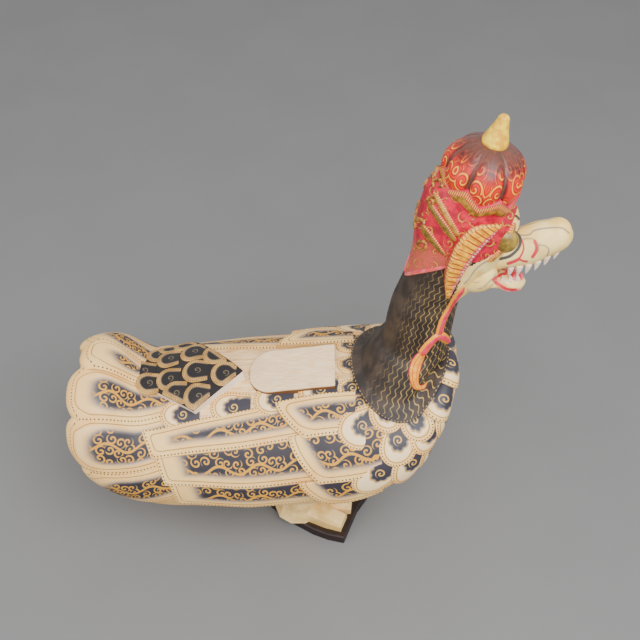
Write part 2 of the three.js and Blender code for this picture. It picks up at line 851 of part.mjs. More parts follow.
function ribbon(side) {
  const strap = band(
    [[140, 27.5, 304.5], [131.7, 28, 286], [124.6, 29, 263], [122, 31, 237]],
    [4.5, 4.5, 4.5],
    side,
    ribbon_relief,
    7,
  );
  const bow = band(
    [[138, 17, 212.5], [131, 26, 231], [122.4, 31, 243], [114, 34, 232], [107, 37, 221]],
    [4, 5.5, 6, 5.5, 4.5],
    side,
    ribbon_relief + 1.5,
    7,
  );
  const tassel = band(
    [[103.5, 36, 221], [99.5, 40, 204], [100.5, 45, 190.5], [106, 47.5, 184.5]],
    [5, 9, 9, 5],
    side,
    ribbon_relief + 1,
    8,
  );
  return join([strap, bow, tassel]);
}

function neck_and_head() {
  const paired = [1, -1].flatMap((side) => [
    ball(eye, side),
    ball(jowl, side),
    ear_wing(side),
    brow(side),
    nape_band(side),
    ribbon(side),
    ...crown_straps(side),
  ]);
  return join([
    neck_and_skull(), snout(), jaw(), ball(ribbon_knot, 1),
    ...paired, ...teeth(), crown_rim(), bun_ball(), finial(),
  ]).subtract(trunk_core(fit_gap));
}

// Plinth and feet

// Half of the plinth's outline from its front to its rear, as shares of its half sizes.
const plinth_half_outline = [
  [1, 0], [0.95, 0.26], [0.76, 0.5], [0.52, 1], [0.26, 0.95],
  [0, 0.86], [-0.4, 0.66], [-0.75, 0.4], [-0.94, 0.2], [-1, 0],
];

function plinth_outline(margin) {
  const half = plinth_half_outline.map(([along, across]) => {
    const x = along * (plinth_length / 2 - margin);
    return new THREE.Vector2(x, across * (plinth_width / 2 - margin));
  });
  const mirrored = half.slice(1, -1).reverse().map((corner) => (
    new THREE.Vector2(corner.x, -corner.y)
  ));
  return new THREE.Shape([...half, ...mirrored]);
}

function plinth() {
  const bevel = 1.5;
  const geometry = new THREE.ExtrudeGeometry(plinth_outline(bevel), {
    depth: plinth_thickness - 2 * bevel,
    bevelThickness: bevel,
    bevelSize: bevel,
    bevelSegments: 1,
    steps: 1,
  });
  geometry.translate(0, 0, bevel);
  return solid_of(geometry);
}

// One toe: a rounded block from the heel to a blunt nail, its top falling towards the front.
function toe(side, heel, tip, half_width, height) {
  const along = new THREE.Vector2(tip[0] - heel[0], tip[1] - heel[1]);
  const length = along.length();
  along.normalize();
  const across = new THREE.Vector2(-along.y, along.x);
  const floor = plinth_thickness + fit_gap;
  const profile = [[-1, 0], [-1, 0.55], [-0.55, 0.95], [0.55, 0.95], [1, 0.55], [1, 0]];
  const stations = [[0, 0.8, 1.25], [0.74, 1, 0.85], [0.8, 0.95, 0.75], [1, 0.86, 0.6]];
  const rings = stations.map(([share, wide, tall]) => profile.map(([w, h]) => {
    const x = heel[0] + along.x * length * share + across.x * half_width * wide * w;
    const y = heel[1] + along.y * length * share + across.y * half_width * wide * w;
    return new THREE.Vector3(x, side * y, floor + height * tall * h);
  }));
  const pole = (end) => new THREE.Vector3(end[0], side * end[1], floor + 0.3 * height);
  return loft(rings, pole(heel), pole(tip));
}

function leg(side) {
  const floor = plinth_thickness + fit_gap;
  const rows = [
    [-22, 50, 34, 30, 0], [-20, 49, 30, 27, 0.45], [-20, 46, 34, 30, 0.8], [-21, 43, 40, 34, 1.35],
  ];
  const rings = rows.map(([x, y, half_length, half_width, up]) => turns(10).map((turn) => (
    new THREE.Vector3(
      x + half_length * Math.cos(turn),
      side * (y + half_width * Math.sin(turn)),
      floor + foot_height * up,
    )
  )));
  const pole = (up) => new THREE.Vector3(-21, side * 46, floor + foot_height * up);
  return loft(rings, pole(0), pole(1.35));
}

// Three toes to the front and one to the rear: heel, tip, half width and share of the foot's height
const toes = [
  { heel: [-35, 50], tip: [44, 84 - foot_margin], half_width: 15, tall: 0.62 },
  { heel: [-30, 40], tip: [56, 50], half_width: 15, tall: 0.62 },
  { heel: [-30, 28], tip: [60, 20], half_width: 14, tall: 0.62 },
  { heel: [-10, 46], tip: [-66, 34], half_width: 12, tall: 0.5 },
];

function feet() {
  const halves = [1, -1].flatMap((side) => [
    ...toes.map(({ heel, tip, half_width, tall }) => (
      toe(side, heel, tip, half_width, tall * foot_height)
    )),
    leg(side),
  ]);
  const web = new THREE.BoxGeometry(70, 60, 0.5 * foot_height);
  web.translate(-18, 0, plinth_thickness + fit_gap + 0.25 * foot_height);
  return join([...halves, solid_of(web)]).subtract(trunk_core(fit_gap));
}

// Pieces

const painted_wood = { metalness: 0, roughness: 0.6 };
const finishes = {
  cream_paint: new THREE.MeshStandardMaterial({ ...painted_wood, color: '#cfb896' }),
  dark_paint: new THREE.MeshStandardMaterial({ ...painted_wood, color: '#453c36' }),
  aged_cream: new THREE.MeshStandardMaterial({ ...painted_wood, color: '#c9bd98' }),
  plinth_paint: new THREE.MeshStandardMaterial({ ...painted_wood, color: '#2a1c1c' }),
};

function piece(name, solid, finish) {
  const mesh = new THREE.Mesh(geometry_of(solid), finish);
  mesh.name = name;
  return mesh;
}

const figure = new THREE.Group();
figure.add(
  piece('body', body(), finishes.cream_paint),
  piece('neck_and_head', neck_and_head(), finishes.dark_paint),
  piece('feet', feet(), finishes.aged_cream),
  piece('plinth', plinth(), finishes.plinth_paint),
);

export default figure;
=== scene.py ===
"""Looks of a carved and painted wooden garuda: a goose-bodied bird with a crowned, toothed head.

Metres in Blender, +Z up, the bird faces +X. Sizes in the tables are in paces, of which the
figure is 522 high, and reliefs are in millimetres.
"""

import math

import bpy
import numpy as np
from bpy.props import FloatProperty, FloatVectorProperty, PointerProperty
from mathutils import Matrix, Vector
from mathutils.bvhtree import BVHTree


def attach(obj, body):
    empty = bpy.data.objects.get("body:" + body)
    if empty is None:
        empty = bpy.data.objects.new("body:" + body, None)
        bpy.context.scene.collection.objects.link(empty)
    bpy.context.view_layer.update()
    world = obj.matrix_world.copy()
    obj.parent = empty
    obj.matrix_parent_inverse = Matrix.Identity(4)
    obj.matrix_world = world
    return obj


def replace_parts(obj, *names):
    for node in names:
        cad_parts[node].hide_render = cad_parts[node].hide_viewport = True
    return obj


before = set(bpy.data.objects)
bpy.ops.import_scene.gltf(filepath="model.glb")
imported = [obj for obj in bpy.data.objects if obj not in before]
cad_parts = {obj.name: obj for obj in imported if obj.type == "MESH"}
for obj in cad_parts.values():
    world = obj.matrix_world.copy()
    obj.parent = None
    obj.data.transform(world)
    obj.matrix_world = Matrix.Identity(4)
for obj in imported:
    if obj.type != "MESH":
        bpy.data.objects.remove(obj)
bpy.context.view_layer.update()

bl_info = {
    "name": "Carved garuda",
    "version": (1, 0, 0),
    "blender": (4, 5, 0),
    "location": "3D View > Sidebar > Garuda",
    "description": "Carves and paints the pieces of a wooden garuda figure",
    "category": "Object",
}

FIGURE_HEIGHT = 0.652
PACE = FIGURE_HEIGHT / 522
PLINTH_THICKNESS = 0.016
FOOT_HEIGHT = 0.0472
FIT_GAP = 0.0003
BELLY = PLINTH_THICKNESS + FOOT_HEIGHT + 2 * FIT_GAP
MM = 0.001

FEATHER_RELIEF = 5.0
FEATHER_ROOT_RELIEF = 0.8
FEATHER_DEPTH = 5.0
FEATHER_TUCK = 0.1
TAIL_RIM_THICKNESS = 22.0
RUMP_FRONT_RELIEF = 16.0
RUMP_REAR_RELIEF = 2.5
SEAT_REAR_RELIEF = 1.5
SEAT_FRONT_RELIEF = 3.0
COLLAR_THICKNESS = 7.0
COLLAR_RECESS = 4.5
BUN_LOBES = 7

# The camera that took the photograph, in the figure's frame. It looks down at 45 degrees.
CAMERA_TARGET = np.array([0.0094, 0.0, 0.3562])
CAMERA_DISTANCE = 1.125
CAMERA_PIXELS = 900.0
PICTURE = 640
CAMERA_DROP = math.radians(45)
SLANT = math.sqrt(0.5)
CAMERA_SPOT = CAMERA_TARGET + CAMERA_DISTANCE * np.array([0, -SLANT, SLANT])
CAMERA_AHEAD = np.array([0, SLANT, -SLANT])
CAMERA_UP = np.array([0, SLANT, SLANT])


# ---------------------------------------------------------------- trunk


def triples(*values):
    """Rows of three numbers from three arrays, or from arrays and numbers."""
    return np.stack(np.broadcast_arrays(*values), axis=-1)


def place(x, y, z):
    """A place of the carver's grid, in metres."""
    return triples(x * PACE, y * PACE, BELLY + z * PACE)


TRUNK = np.array([
    # x, middle, half width, rise, drop
    (-262, 105, 66, 62, 30),
    (-220, 90, 89, 82, 65),
    (-178, 70, 90, 77, 85),
    (-120, 70, 95, 79, 84),
    (-62, 74, 101, 80, 80),
    (22, 88, 102, 78, 88),
    (67, 98, 104, 76, 82),
    (107, 121, 105, 66, 72),
    (137, 161, 104, 62, 70),
    (150, 178, 104, 62, 70),
], float)
BREAST_START, BREAST_REACH, BREAST_BLUNTNESS = -12.0, 161.0, 3.6
TRUNK_REAR = -243.0
HEART = (67.0, 98.0)


def smooth_value(table, column, x):
    """The column's value at x, on a smooth curve through the table's entries."""
    x = np.asarray(x, float)
    xs, values = table[:, 0], table[:, column]
    upper = np.clip(np.searchsorted(xs, x, side="right"), 1, len(xs) - 1)
    before = np.clip(np.arange(len(xs)) - 1, 0, None)
    after = np.clip(np.arange(len(xs)) + 1, None, len(xs) - 1)
    slope = (values[after] - values[before]) / (xs[after] - xs[before])
    width = xs[upper] - xs[upper - 1]
    t = (x - xs[upper - 1]) / width
    return ((2 * t**3 - 3 * t**2 + 1) * values[upper - 1]
            + (t**3 - 2 * t**2 + t) * slope[upper - 1] * width
            + (3 * t**2 - 2 * t**3) * values[upper]
            + (t**3 - t**2) * slope[upper] * width)


def trunk_section(x):
    """The trunk's middle height, half width, rise and drop at x."""
    share = np.clip((x - BREAST_START) / BREAST_REACH, 0, 1)
    taper = np.maximum(np.sqrt(1 - share**BREAST_BLUNTNESS), 1e-4)
    middle = smooth_value(TRUNK, 1, x)
    half_width, rise, drop = (smooth_value(TRUNK, c, x) * taper for c in (2, 3, 4))
    return middle, half_width, rise, drop


def trunk_excess(x, y, z):
    """Below 0 inside the trunk and above 0 outside it."""
    middle, half_width, rise, drop = trunk_section(x)
    up = z - middle
    return np.hypot(y / half_width, up / np.where(up > 0, rise, drop)) - 1


def lifted(x, y, z, lift):
    """A place moved lift millimetres out along the trunk's normal."""
    x, y, z, lift = np.broadcast_arrays(*(np.asarray(v, float) for v in (x, y, z, lift)))
    near = 0.5
    normal = triples(
        trunk_excess(x + near, y, z) - trunk_excess(x - near, y, z),
        trunk_excess(x, y + near, z) - trunk_excess(x, y - near, z),
        trunk_excess(x, y, z + near) - trunk_excess(x, y, z - near),
    )
    normal /= np.linalg.norm(normal, axis=-1, keepdims=True)
    return place(x, y, z) + normal * (lift * MM)[..., None]


def on_trunk(x, angle, lift):
    """A place on the trunk at x and at an angle from the top, positive towards the bird's left."""
    middle, half_width, rise, drop = trunk_section(np.asarray(x, float))
    turn = np.radians(angle)
    up = np.cos(turn)
    return lifted(x, half_width * np.sin(turn), middle + np.where(up > 0, rise, drop) * up, lift)


def on_breast(heading, droop, lift):
    """A place on the trunk in a direction from its heart."""
    heading, droop = np.broadcast_arrays(np.radians(heading), np.radians(droop))
    step = np.stack([np.sin(droop) * np.cos(heading), np.sin(droop) * np.sin(heading), np.cos(droop)])
    inside = np.zeros(heading.shape)
    outside = np.full(heading.shape, 200.0)
    for _ in range(24):
        middle = (inside + outside) / 2
        x = HEART[0] + step[0] * middle
        out = (x > BREAST_START + BREAST_REACH) | (
            trunk_excess(x, step[1] * middle, HEART[1] + step[2] * middle) > 0)
        outside = np.where(out, middle, outside)
        inside = np.where(out, inside, middle)
    return lifted(HEART[0] + step[0] * inside, step[1] * inside, HEART[1] + step[2] * inside, lift)


def on_top(x, y, lift):
    """A place on the trunk's top straight above a place of the plan."""
    middle, half_width, rise, _ = trunk_section(np.asarray(x, float))
    return lifted(x, y, middle + rise * np.sqrt(np.clip(1 - (y / half_width) ** 2, 0, 1)), lift)


# ---------------------------------------------------------------- meshes


def mix(start, end, share):
    """The value at a share of the way from start to end."""
    return start + (end - start) * share


def turns_around(count):
    """Evenly spaced angles once round."""
    return np.linspace(0, 2 * np.pi, count, endpoint=False)


def eased(count, crowd=0.6):
    """Shares from 0 to 1 that crowd towards both ends."""
    t = np.linspace(0, 1, count)
    return t - crowd * np.sin(2 * np.pi * t) / (2 * np.pi)


def nearest_on_line(points, line):
    """Distance to a line of points, and how far along it that is, both in millimetres."""
    starts, ends = line[:-1], line[1:]
    runs = np.concatenate([[0], np.cumsum(np.linalg.norm(ends - starts, axis=1))])
    best = np.full(points.shape[:-1], np.inf)
    best_run = np.zeros(points.shape[:-1])
    for start, end, run in zip(starts, ends, runs):
        along = end - start
        length = float(np.linalg.norm(along))
        if length < 1e-9:
            continue
        share = np.clip((points - start) @ along / length**2, 0, 1)
        distance = np.linalg.norm(points - start - share[..., None] * along, axis=-1)
        closer = distance < best
        best = np.where(closer, distance, best)
        best_run = np.where(closer, run + share * length, best_run)
    return best / MM, best_run / MM


class Carving:
    """Gathers the sheets of one piece. Border, field and tone are distances that the paint reads, in mm."""

    def __init__(self):
        self.points, self.faces, self.slots = [], [], []
        self.drawn = {"border": [], "field": [], "tone": []}
        self.count = 0

    def add(self, points, faces, slot, border=(0, 0, 0), field=(0, 0, 0), tone=(0, 0, 0)):
        points = np.asarray(points, float).reshape(-1, 3)
        shape = (len(points), 3)
        self.points.append(points)
        for name, values in (("border", border), ("field", field), ("tone", tone)):
            values = np.asarray(values, float).reshape(-1, 3)
            self.drawn[name].append(np.broadcast_to(values, shape))
        self.faces.extend(tuple(int(i) + self.count for i in face) for face in faces)
        self.slots.extend([slot] * len(faces))
        self.count += len(points)

    def build(self, name, materials, sharp=40, ink=False):
        """One object at the origin from all that was gathered."""
        mesh = bpy.data.meshes.new(name)
        points = np.concatenate(self.points)
        mesh.from_pydata(points.tolist(), [], self.faces)
        drawn = {attribute: np.concatenate(values) for attribute, values in self.drawn.items()}
        drawn["drawn"] = picture_places(points)
        drawn["ink"] = ink_distances(drawn["drawn"][:, :2]) if ink else np.zeros_like(points)
        for attribute, values in drawn.items():
            layer = mesh.attributes.new(attribute, "FLOAT_VECTOR", "POINT")
            layer.data.foreach_set("vector", values.astype(np.float32).ravel())
        for material in materials:
            mesh.materials.append(material)
        mesh.polygons.foreach_set("material_index", self.slots)
        piece = bpy.data.objects.new(name, mesh)
        bpy.context.scene.collection.objects.link(piece)
        bpy.ops.object.select_all(action="DESELECT")
        piece.select_set(True)
        bpy.context.view_layer.objects.active = piece
        bpy.ops.object.mode_set(mode="EDIT")
        bpy.ops.mesh.select_all(action="SELECT")
        bpy.ops.mesh.normals_make_consistent(inside=False)
        bpy.ops.object.mode_set(mode="OBJECT")
        bpy.ops.object.shade_smooth_by_angle(angle=math.radians(sharp))
        piece.select_set(False)
        return piece


def grid_faces(rows, columns, around=False):
    """Quads of a grid of points, joined round its columns where it goes all round."""
    faces = []
    for row in range(rows - 1):
        for column in range(columns if around else columns - 1):
            beside = (column + 1) % columns
            low, high = row * columns, (row + 1) * columns
            faces.append((low + column, low + beside, high + beside, high + column))
    return faces


def picture_places(points):
    """Where the photograph shows each point of the right side, the left side being its mirror image."""
    points = np.asarray(points, float)
    mirrored = points * np.array([1, -1, 1])
    near = np.where(points[..., 1:2] > 0, mirrored, points)
    return to_picture(near)


def to_picture(points):
    """Where the photograph shows each point, in pixels, and how far ahead of the camera it is."""
    offset = points - CAMERA_SPOT
    depth = offset @ CAMERA_AHEAD
    return triples(
        PICTURE / 2 + CAMERA_PIXELS * offset[..., 0] / depth,
        PICTURE / 2 - CAMERA_PIXELS * (offset @ CAMERA_UP) / depth,
        depth,
    )


def sight_line(px, py):
    """The direction of the line of sight through a place in the photograph."""
    direction = (CAMERA_AHEAD + np.array([1, 0, 0]) * (px - PICTURE / 2) / CAMERA_PIXELS
                 + CAMERA_UP * (PICTURE / 2 - py) / CAMERA_PIXELS)
    return direction / np.linalg.norm(direction)


# Brush strokes of the face: their places in the photograph and half widths in its pixels
RED_INK = [
    ([(522, 240), (523.5, 246), (523, 251.5), (519, 259)], 0.9),
    ([(519, 259), (514, 261.5), (508, 263.5)], 1.6),
    ([(519, 259), (523, 261), (527, 261.5)], 1.0),
    ([(534.5, 241), (536.5, 246), (536, 251), (532.5, 257)], 1.5),
    ([(493, 280), (500, 285), (508, 289.5), (516, 290)], 1.6),
    ([(494, 279), (500, 275), (508, 273)], 1.4),
]
GREY_INK = [
    ([(516, 235), (529, 235), (534, 230.5), (548, 228), (562, 228), (569, 233)], 0.8),
    ([(520, 239), (533, 239), (538.6, 244.5), (545.6, 246), (549, 250), (547, 256)], 0.7),
    ([(538.6, 244.5), (538.5, 250), (534.5, 256)], 0.6),
    ([(499, 271), (506, 268), (520, 267), (530, 265.5)], 0.7),
    ([(464, 284), (468, 280), (477, 268), (488, 261), (496, 262)], 0.7),
    *[([(470 + 2.2 * k, 281 - 2.3 * k), (474 + 2.2 * k, 287 - 2.0 * k)], 0.35) for k in range(7)],
    ([(478, 289), (484, 287), (489, 282), (499, 271)], 0.7),
]
DARK_INK = [
    ([(514, 231.5), (519, 236), (520.5, 241), (519, 247), (515, 252), (509, 256.5), (500, 259)], 1.5),
    ([(506, 219), (511, 216.5), (516, 216), (519, 219)], 1.3),
]


def ink_distances(places):
    """How far each place of the photograph is outside the red, the grey and the dark strokes, in pixels."""
    columns = []
    for strokes in (RED_INK, GREY_INK, DARK_INK):
        nearest = np.full(len(places), 99.0)
        for path, half_width in strokes:
            away, _ = nearest_on_line(places, spline(path, 16))
            nearest = np.minimum(nearest, away * MM - half_width)
        columns.append(nearest)
    return np.stack(columns, axis=-1)


def rim_of(grid):
    """The closed outer edge of a grid of points."""
    return np.concatenate([grid[:, 0], grid[-1, 1:-1], grid[::-1, -1], grid[0, -2:0:-1]])


def walls(carving, upper, lower, slot, border=(0, 0, 0)):
    """The side wall between two closed rings of points."""
    carving.add(np.stack([upper, lower]), grid_faces(2, len(upper), around=True), slot, border=border)


def outline_of(grid):
    """The free edge of a feather's grid: one side, the tip and the other side."""
    return np.concatenate([grid[:, 0], grid[-1, 1:-1], grid[::-1, -1]])


def rounded(side, tip, radius):
    """The distance from two edges, with their corner rounded off."""
    corner = radius - np.hypot(np.maximum(radius - side, 0), np.maximum(radius - tip, 0))
    return np.where((side > radius) & (tip > radius), np.minimum(side, tip), corner)


def sheet(carving, spot, lift, along, across, slot, bevel=2.0, depth=None, centre=0.0, style=None):
    """A feather: a grid raised off the trunk, rounded over its free edge, with walls down into it.

    The style of a long feather is its rim, the extra distance given to its upper edge, the radius of
    its inner line at the tip, and how much faster its shade starts from the tip and the lower side.
    """
    flat = spot(along, across, 0)
    rows, columns = along.shape
    edge, run = nearest_on_line(flat, outline_of(flat))
    share = np.minimum(edge / bevel, 1)
    rolled = bevel * (1 - np.sqrt(np.clip(1 - (1 - share) ** 2, 0, 1)))
    top = spot(along, across, lift(along, across) - rolled)
    middle = columns // 2
    steps = np.linalg.norm(np.diff(flat, axis=1), axis=-1) / MM
    side = np.concatenate([np.zeros((rows, 1)), np.cumsum(steps, axis=1)], axis=1)
    side -= side[:, middle:middle + 1]
    length = np.linalg.norm(np.diff(flat[:, middle], axis=0), axis=-1) / MM
    length = np.concatenate([[0], np.cumsum(length)])
    field = triples(length[:, None] - centre * length[-1], side, along)
    if style is None:
        border = triples(edge, run, edge)
        tone = np.zeros_like(border)
    else:
        rim, upper_gap, radius, tip_share, low_share = style
        upper, lower, tip = (nearest_on_line(flat, line)[0] for line in (flat[:, 0], flat[:, -1], flat[-1]))
        sides = np.minimum(upper + upper_gap, lower)
        border = triples(np.minimum(sides, tip - rim), run, edge)
        shade = rounded(np.minimum(upper + upper_gap, lower * low_share), (tip - rim) * tip_share, radius)
        tone = triples(rounded(sides, tip - rim, radius), shade, along)
    low = spot(along, across, -FEATHER_DEPTH if depth is None else depth)
    ring = outline_of(np.arange(rows * columns).reshape(rows, columns, 1)).ravel()
    points = np.concatenate([top.reshape(-1, 3), outline_of(low)])
    faces = grid_faces(rows, columns)
    base = rows * columns
    for index in range(len(ring) - 1):
        faces.append((ring[index], ring[index + 1], base + index + 1, base + index))
    drawn = (values.reshape(-1, 3) for values in (border, field, tone))
    carving.add(points, faces, slot, *(np.concatenate([values, values[ring]]) for values in drawn))


# ---------------------------------------------------------------- feathers

QUILL_ROOT, QUILL_BEND = 17.0, 1.5
QUILL_TIPS = [(-178.8, -167.3), (-164.7, -154.5), (-151, -144.5)]
QUILL_LINES = [(-41.5, -22), (-60, -46), (-80.5, -79), (-102, -103.5)]
QUILL_REACH = QUILL_ROOT - QUILL_TIPS[0][0]
COVERT_ROOTS, COVERT_TIPS = [44, 70, 72], [-38.5, -24.5, -14.5]
COVERT_SETBACK, COVERT_ROUNDNESS = 31.0, 1.5
TAIL_ROOT = -142.0
TAIL_TIPS = [-246, -256.5, -257, -247]
RIGHT_TAIL_LINES = [(8, 9), (27, 50), (60, 92), (97, 133)]
LEFT_TAIL_LINES = [(3, 25), (28, 60), (62, 97), (97, 133)]
TAIL_NOTCH = 9.0
TAIL_RIM = 9.0
TAIL_ROLL_FROM = 0.86

# Styles as sheet() reads them; the upper feathers run on under the seat and have a narrow upper border
UPPER_QUILL_STYLE, QUILL_STYLE = (0, 2.2, 15, 0.5, 0.95), (0, 14, 15, 0.5, 0.95)
UPPER_COVERT_STYLE, COVERT_STYLE = (0, 2.2, 20, 0.78, 0.92), (0, 16, 20, 0.78, 0.92)
TAIL_STYLE = (TAIL_RIM, 0, 24, 0.55, 1)

# Paints of the body
FEATHER, SCALE, RUMP, RAW, CREAM = range(5)


def quill_line(line, x):
    """The angle round the trunk of the line between two quills."""
    share = np.maximum((QUILL_ROOT - x) / QUILL_REACH, 0)
    tip, root = QUILL_LINES[line]
    return mix(root, tip, share**QUILL_BEND)


def between_lines(index, x, across):
    """The angle of a place across a quill, which is tucked a little under the one above it."""
    spread = mix(-FEATHER_TUCK, 1, across)
    return mix(quill_line(index, x), quill_line(index + 1, x), spread)


def quill(carving, index, side):
    """A long feather of the closed wing."""
    upper, lower = QUILL_TIPS[index]

    def spot(along, across, lift):
        x = mix(QUILL_ROOT, mix(upper, lower, across), along)
        return on_trunk(x, -side * between_lines(index, x, across), lift)

    def lift(along, across):
        raised = mix(FEATHER_ROOT_RELIEF, FEATHER_RELIEF, np.minimum(2 * along, 1))
        return raised * mix(0.5, 1, across)

    along, across = np.meshgrid(eased(80), eased(30), indexing="ij")
    sheet(carving, spot, lift, along, across, FEATHER, style=QUILL_STYLE if index else UPPER_QUILL_STYLE)


def covert(carving, index, side):
    """A shorter feather that lies over the root of a quill."""

    def spot(along, across, lift):
        tip = COVERT_TIPS[index] + COVERT_SETBACK * across**COVERT_ROUNDNESS
        x = mix(COVERT_ROOTS[index], tip, along)
        return on_trunk(x, -side * between_lines(index, x, across), lift)

    def lift(along, across):
        return FEATHER_RELIEF * mix(0.9, mix(1.35, 1.7, across), np.minimum(1.6 * along, 1))

    along, across = np.meshgrid(eased(50), eased(40), indexing="ij")
    sheet(carving, spot, lift, along, across, FEATHER, style=COVERT_STYLE if index else UPPER_COVERT_STYLE)


def tail_feather(carving, index, side):
    """A broad tail feather with a thick rolled end; the first is the middle one."""
    lines = LEFT_TAIL_LINES if side > 0 else RIGHT_TAIL_LINES
    inner = [-angle for angle in RIGHT_TAIL_LINES[0]] if index == 0 else lines[index - 1]
    outer = lines[index]
    flare = 2 * FEATHER_RELIEF if index == 0 else FEATHER_RELIEF

    def spot(along, across, lift):
        notch = TAIL_NOTCH * np.abs(2 * across - 1) ** 3
        x = mix(TAIL_ROOT, TAIL_TIPS[index] + notch, along)
        spread = across if index == 0 else mix(-FEATHER_TUCK, 1, across)
        angle = mix(mix(inner[0], outer[0], spread), mix(inner[1], outer[1], spread), along)
        return on_trunk(x, side * angle, lift)

    def roll(along):
        return np.clip((along - TAIL_ROLL_FROM) / (1 - TAIL_ROLL_FROM), 0, 1)

    def lift(along, across):
        sunk = 0 if index == 0 else 0.3 * (1 - across) ** 4
        crown = 1 - 0.3 * np.abs(2 * across - 1) ** 4 - sunk
        top = mix(FEATHER_ROOT_RELIEF, flare, along) * crown
        return top - 0.5 * TAIL_RIM_THICKNESS * (1 - np.sqrt(1 - roll(along) ** 2))

    def depth(along):
        whole = mix(9, TAIL_RIM_THICKNESS, along)
        return whole * np.maximum(np.sqrt(1 - roll(along) ** 2), 0.3)

    along, across = np.meshgrid(eased(64, 0.75), eased(34), indexing="ij")
    low = lift(along, across) - depth(along)
    sheet(carving, spot, lift, along, across, FEATHER, bevel=1.5, depth=low, style=TAIL_STYLE)


# How far along a scale the middle of its painted eye is
SCALE_MIDDLE = 0.42


def scale(carving, spot_at, root_lift, tip_lift, slot, rows=16, columns=19, bevel=1.6):
    """A round scale: spot_at(along, across, lift), across from -0.5 to 0.5."""
    along, turn = np.meshgrid(eased(rows), np.linspace(-np.pi / 2, np.pi / 2, columns), indexing="ij")

    def spot(t, phi, lift):
        across = 0.5 * np.sin(phi)
        reach = 0.5 + 0.5 * np.cos(phi)
        ahead = t * reach
        return spot_at(ahead, across * mix(0.84, 1, np.minimum(2 * ahead, 1)), lift)

    def lift(t, phi):
        ahead = t * (0.5 + 0.5 * np.cos(phi))
        dome = 0.2 * tip_lift * (1 - (2 * ahead - 1) ** 2) * np.cos(phi) ** 2
        return mix(root_lift, tip_lift, ahead) + dome

    sheet(carving, spot, lift, along, turn, slot, bevel=bevel, centre=SCALE_MIDDLE)


# Heading and droop of each breast scale's root, those of its tip, and the turn to its side edge
BREAST_SCALES = [
    (180, 13, 180, 31, 24, 0),
    (119, 24, 143, 39, -16, 6),
    (88, 35, 138, 44, -6, 6),
    (3, 36, 30, 45, -5, 8),
    (30, 42, 49, 56, -8, 7),
    (57, 44, 66, 64, -10.5, 4),
    (82, 32, 87, 56.5, -15.5, 4),
    (90, 45, 118.5, 63.5, -12.5, 10.5),
    (73, 50, 81, 77, -12.5, 2.5),
    (50, 52, 65, 72, -9, 5),
    (34, 51, 44, 72, -12, 4),
    (12, 48, 18, 70, -14, 3),
    (79, 70, 102, 95, -9.5, 7),
    (63, 65, 78, 93, -10, 5),
    (48, 66, 58, 92, -11, 4),
    (28, 66, 34, 92, -13, 3),
    (0, 62, 0, 88, -14, 0),
]
FLAT_TIP_HEADING = 120
FIRST_ROW_DROOP, ROW_DROOP = 35.0, 19.0


def breast_scale(carving, places, side):
    """A scale of the breast, which dips under the collar where it meets it."""
    root, root_droop, tip, tip_droop, side_turn, side_droop = places

    def spot(along, across, lift):
        heading = side * (mix(root, tip, along) + 2 * side_turn * across)
        droop = mix(root_droop, tip_droop, along) + 2 * side_droop * across
        bare = on_breast(heading, droop, 0) / PACE
        hidden = np.hypot((bare[..., 0] - COLLAR[0]) / COLLAR[1], bare[..., 1] / COLLAR[2]) < 1.02
        return on_breast(heading, droop, np.where(hidden, np.minimum(lift, COLLAR_RECESS - 0.5), lift))

    root_lift = (0.25 + 0.1 * (root_droop - FIRST_ROW_DROOP) / ROW_DROOP) * FEATHER_RELIEF
    tip_lift = root_lift + FEATHER_RELIEF
    if tip > FLAT_TIP_HEADING:
        root_lift, tip_lift = 0.5, 2.5
    scale(carving, spot, root_lift, tip_lift, SCALE)


def breast_scales(carving):
    """All scales of the breast, from the upper rows to the lower ones under them."""
    for places in BREAST_SCALES:
        for side in ([1] if places[0] % 180 == 0 else [1, -1]):
            breast_scale(carving, places, side)


BACK_SCALE_PLACES = [14, -32, -77, -130]
BACK_SCALE_REACH = 42.0


def back_scale(carving, x):
    """A scale between the seat and the right wing."""
    angle = mix(-28, -16.5, (x - BACK_SCALE_PLACES[3]) / (BACK_SCALE_PLACES[0] - BACK_SCALE_PLACES[3]))

    def spot(along, across, lift):
        return on_trunk(x - BACK_SCALE_REACH * (along - 0.3), angle + 22 * across, lift)

    scale(carving, spot, FEATHER_ROOT_RELIEF, 0.6 * FEATHER_RELIEF, SCALE)


RUMP_FRONT, RUMP_REAR = -72.0, -190.0
RUMP_LEFT = np.array([(-190, 1), (-177, 24), (-167, 32), (-135, 31.5), (-72, -3.3)], float)
RUMP_RIGHT = np.array([(-190, -4), (-171.5, -11), (-121.5, -28), (-72, -3.9)], float)
# x and angle of the middle of each scale, from the rear ones to the front ones that lie over them
RUMP_SCALES = [(-181.5, 4), (-174.5, -6.5), (-169, 21), (-157.7, 29), (-155.3, 13.9), (-151.2, -4.5),
               (-142.3, -15.8), (-139, 29), (-127.9, 15.5), (-121.8, -1.5), (-117.6, -19), (-103, 11.3),
               (-91.4, -4.4)]


def rump_lift(x):
    """The rump's rise off the trunk, full from some way behind its front."""
    return mix(RUMP_REAR_RELIEF, RUMP_FRONT_RELIEF, np.clip((x - RUMP_REAR) / 65, 0, 1))


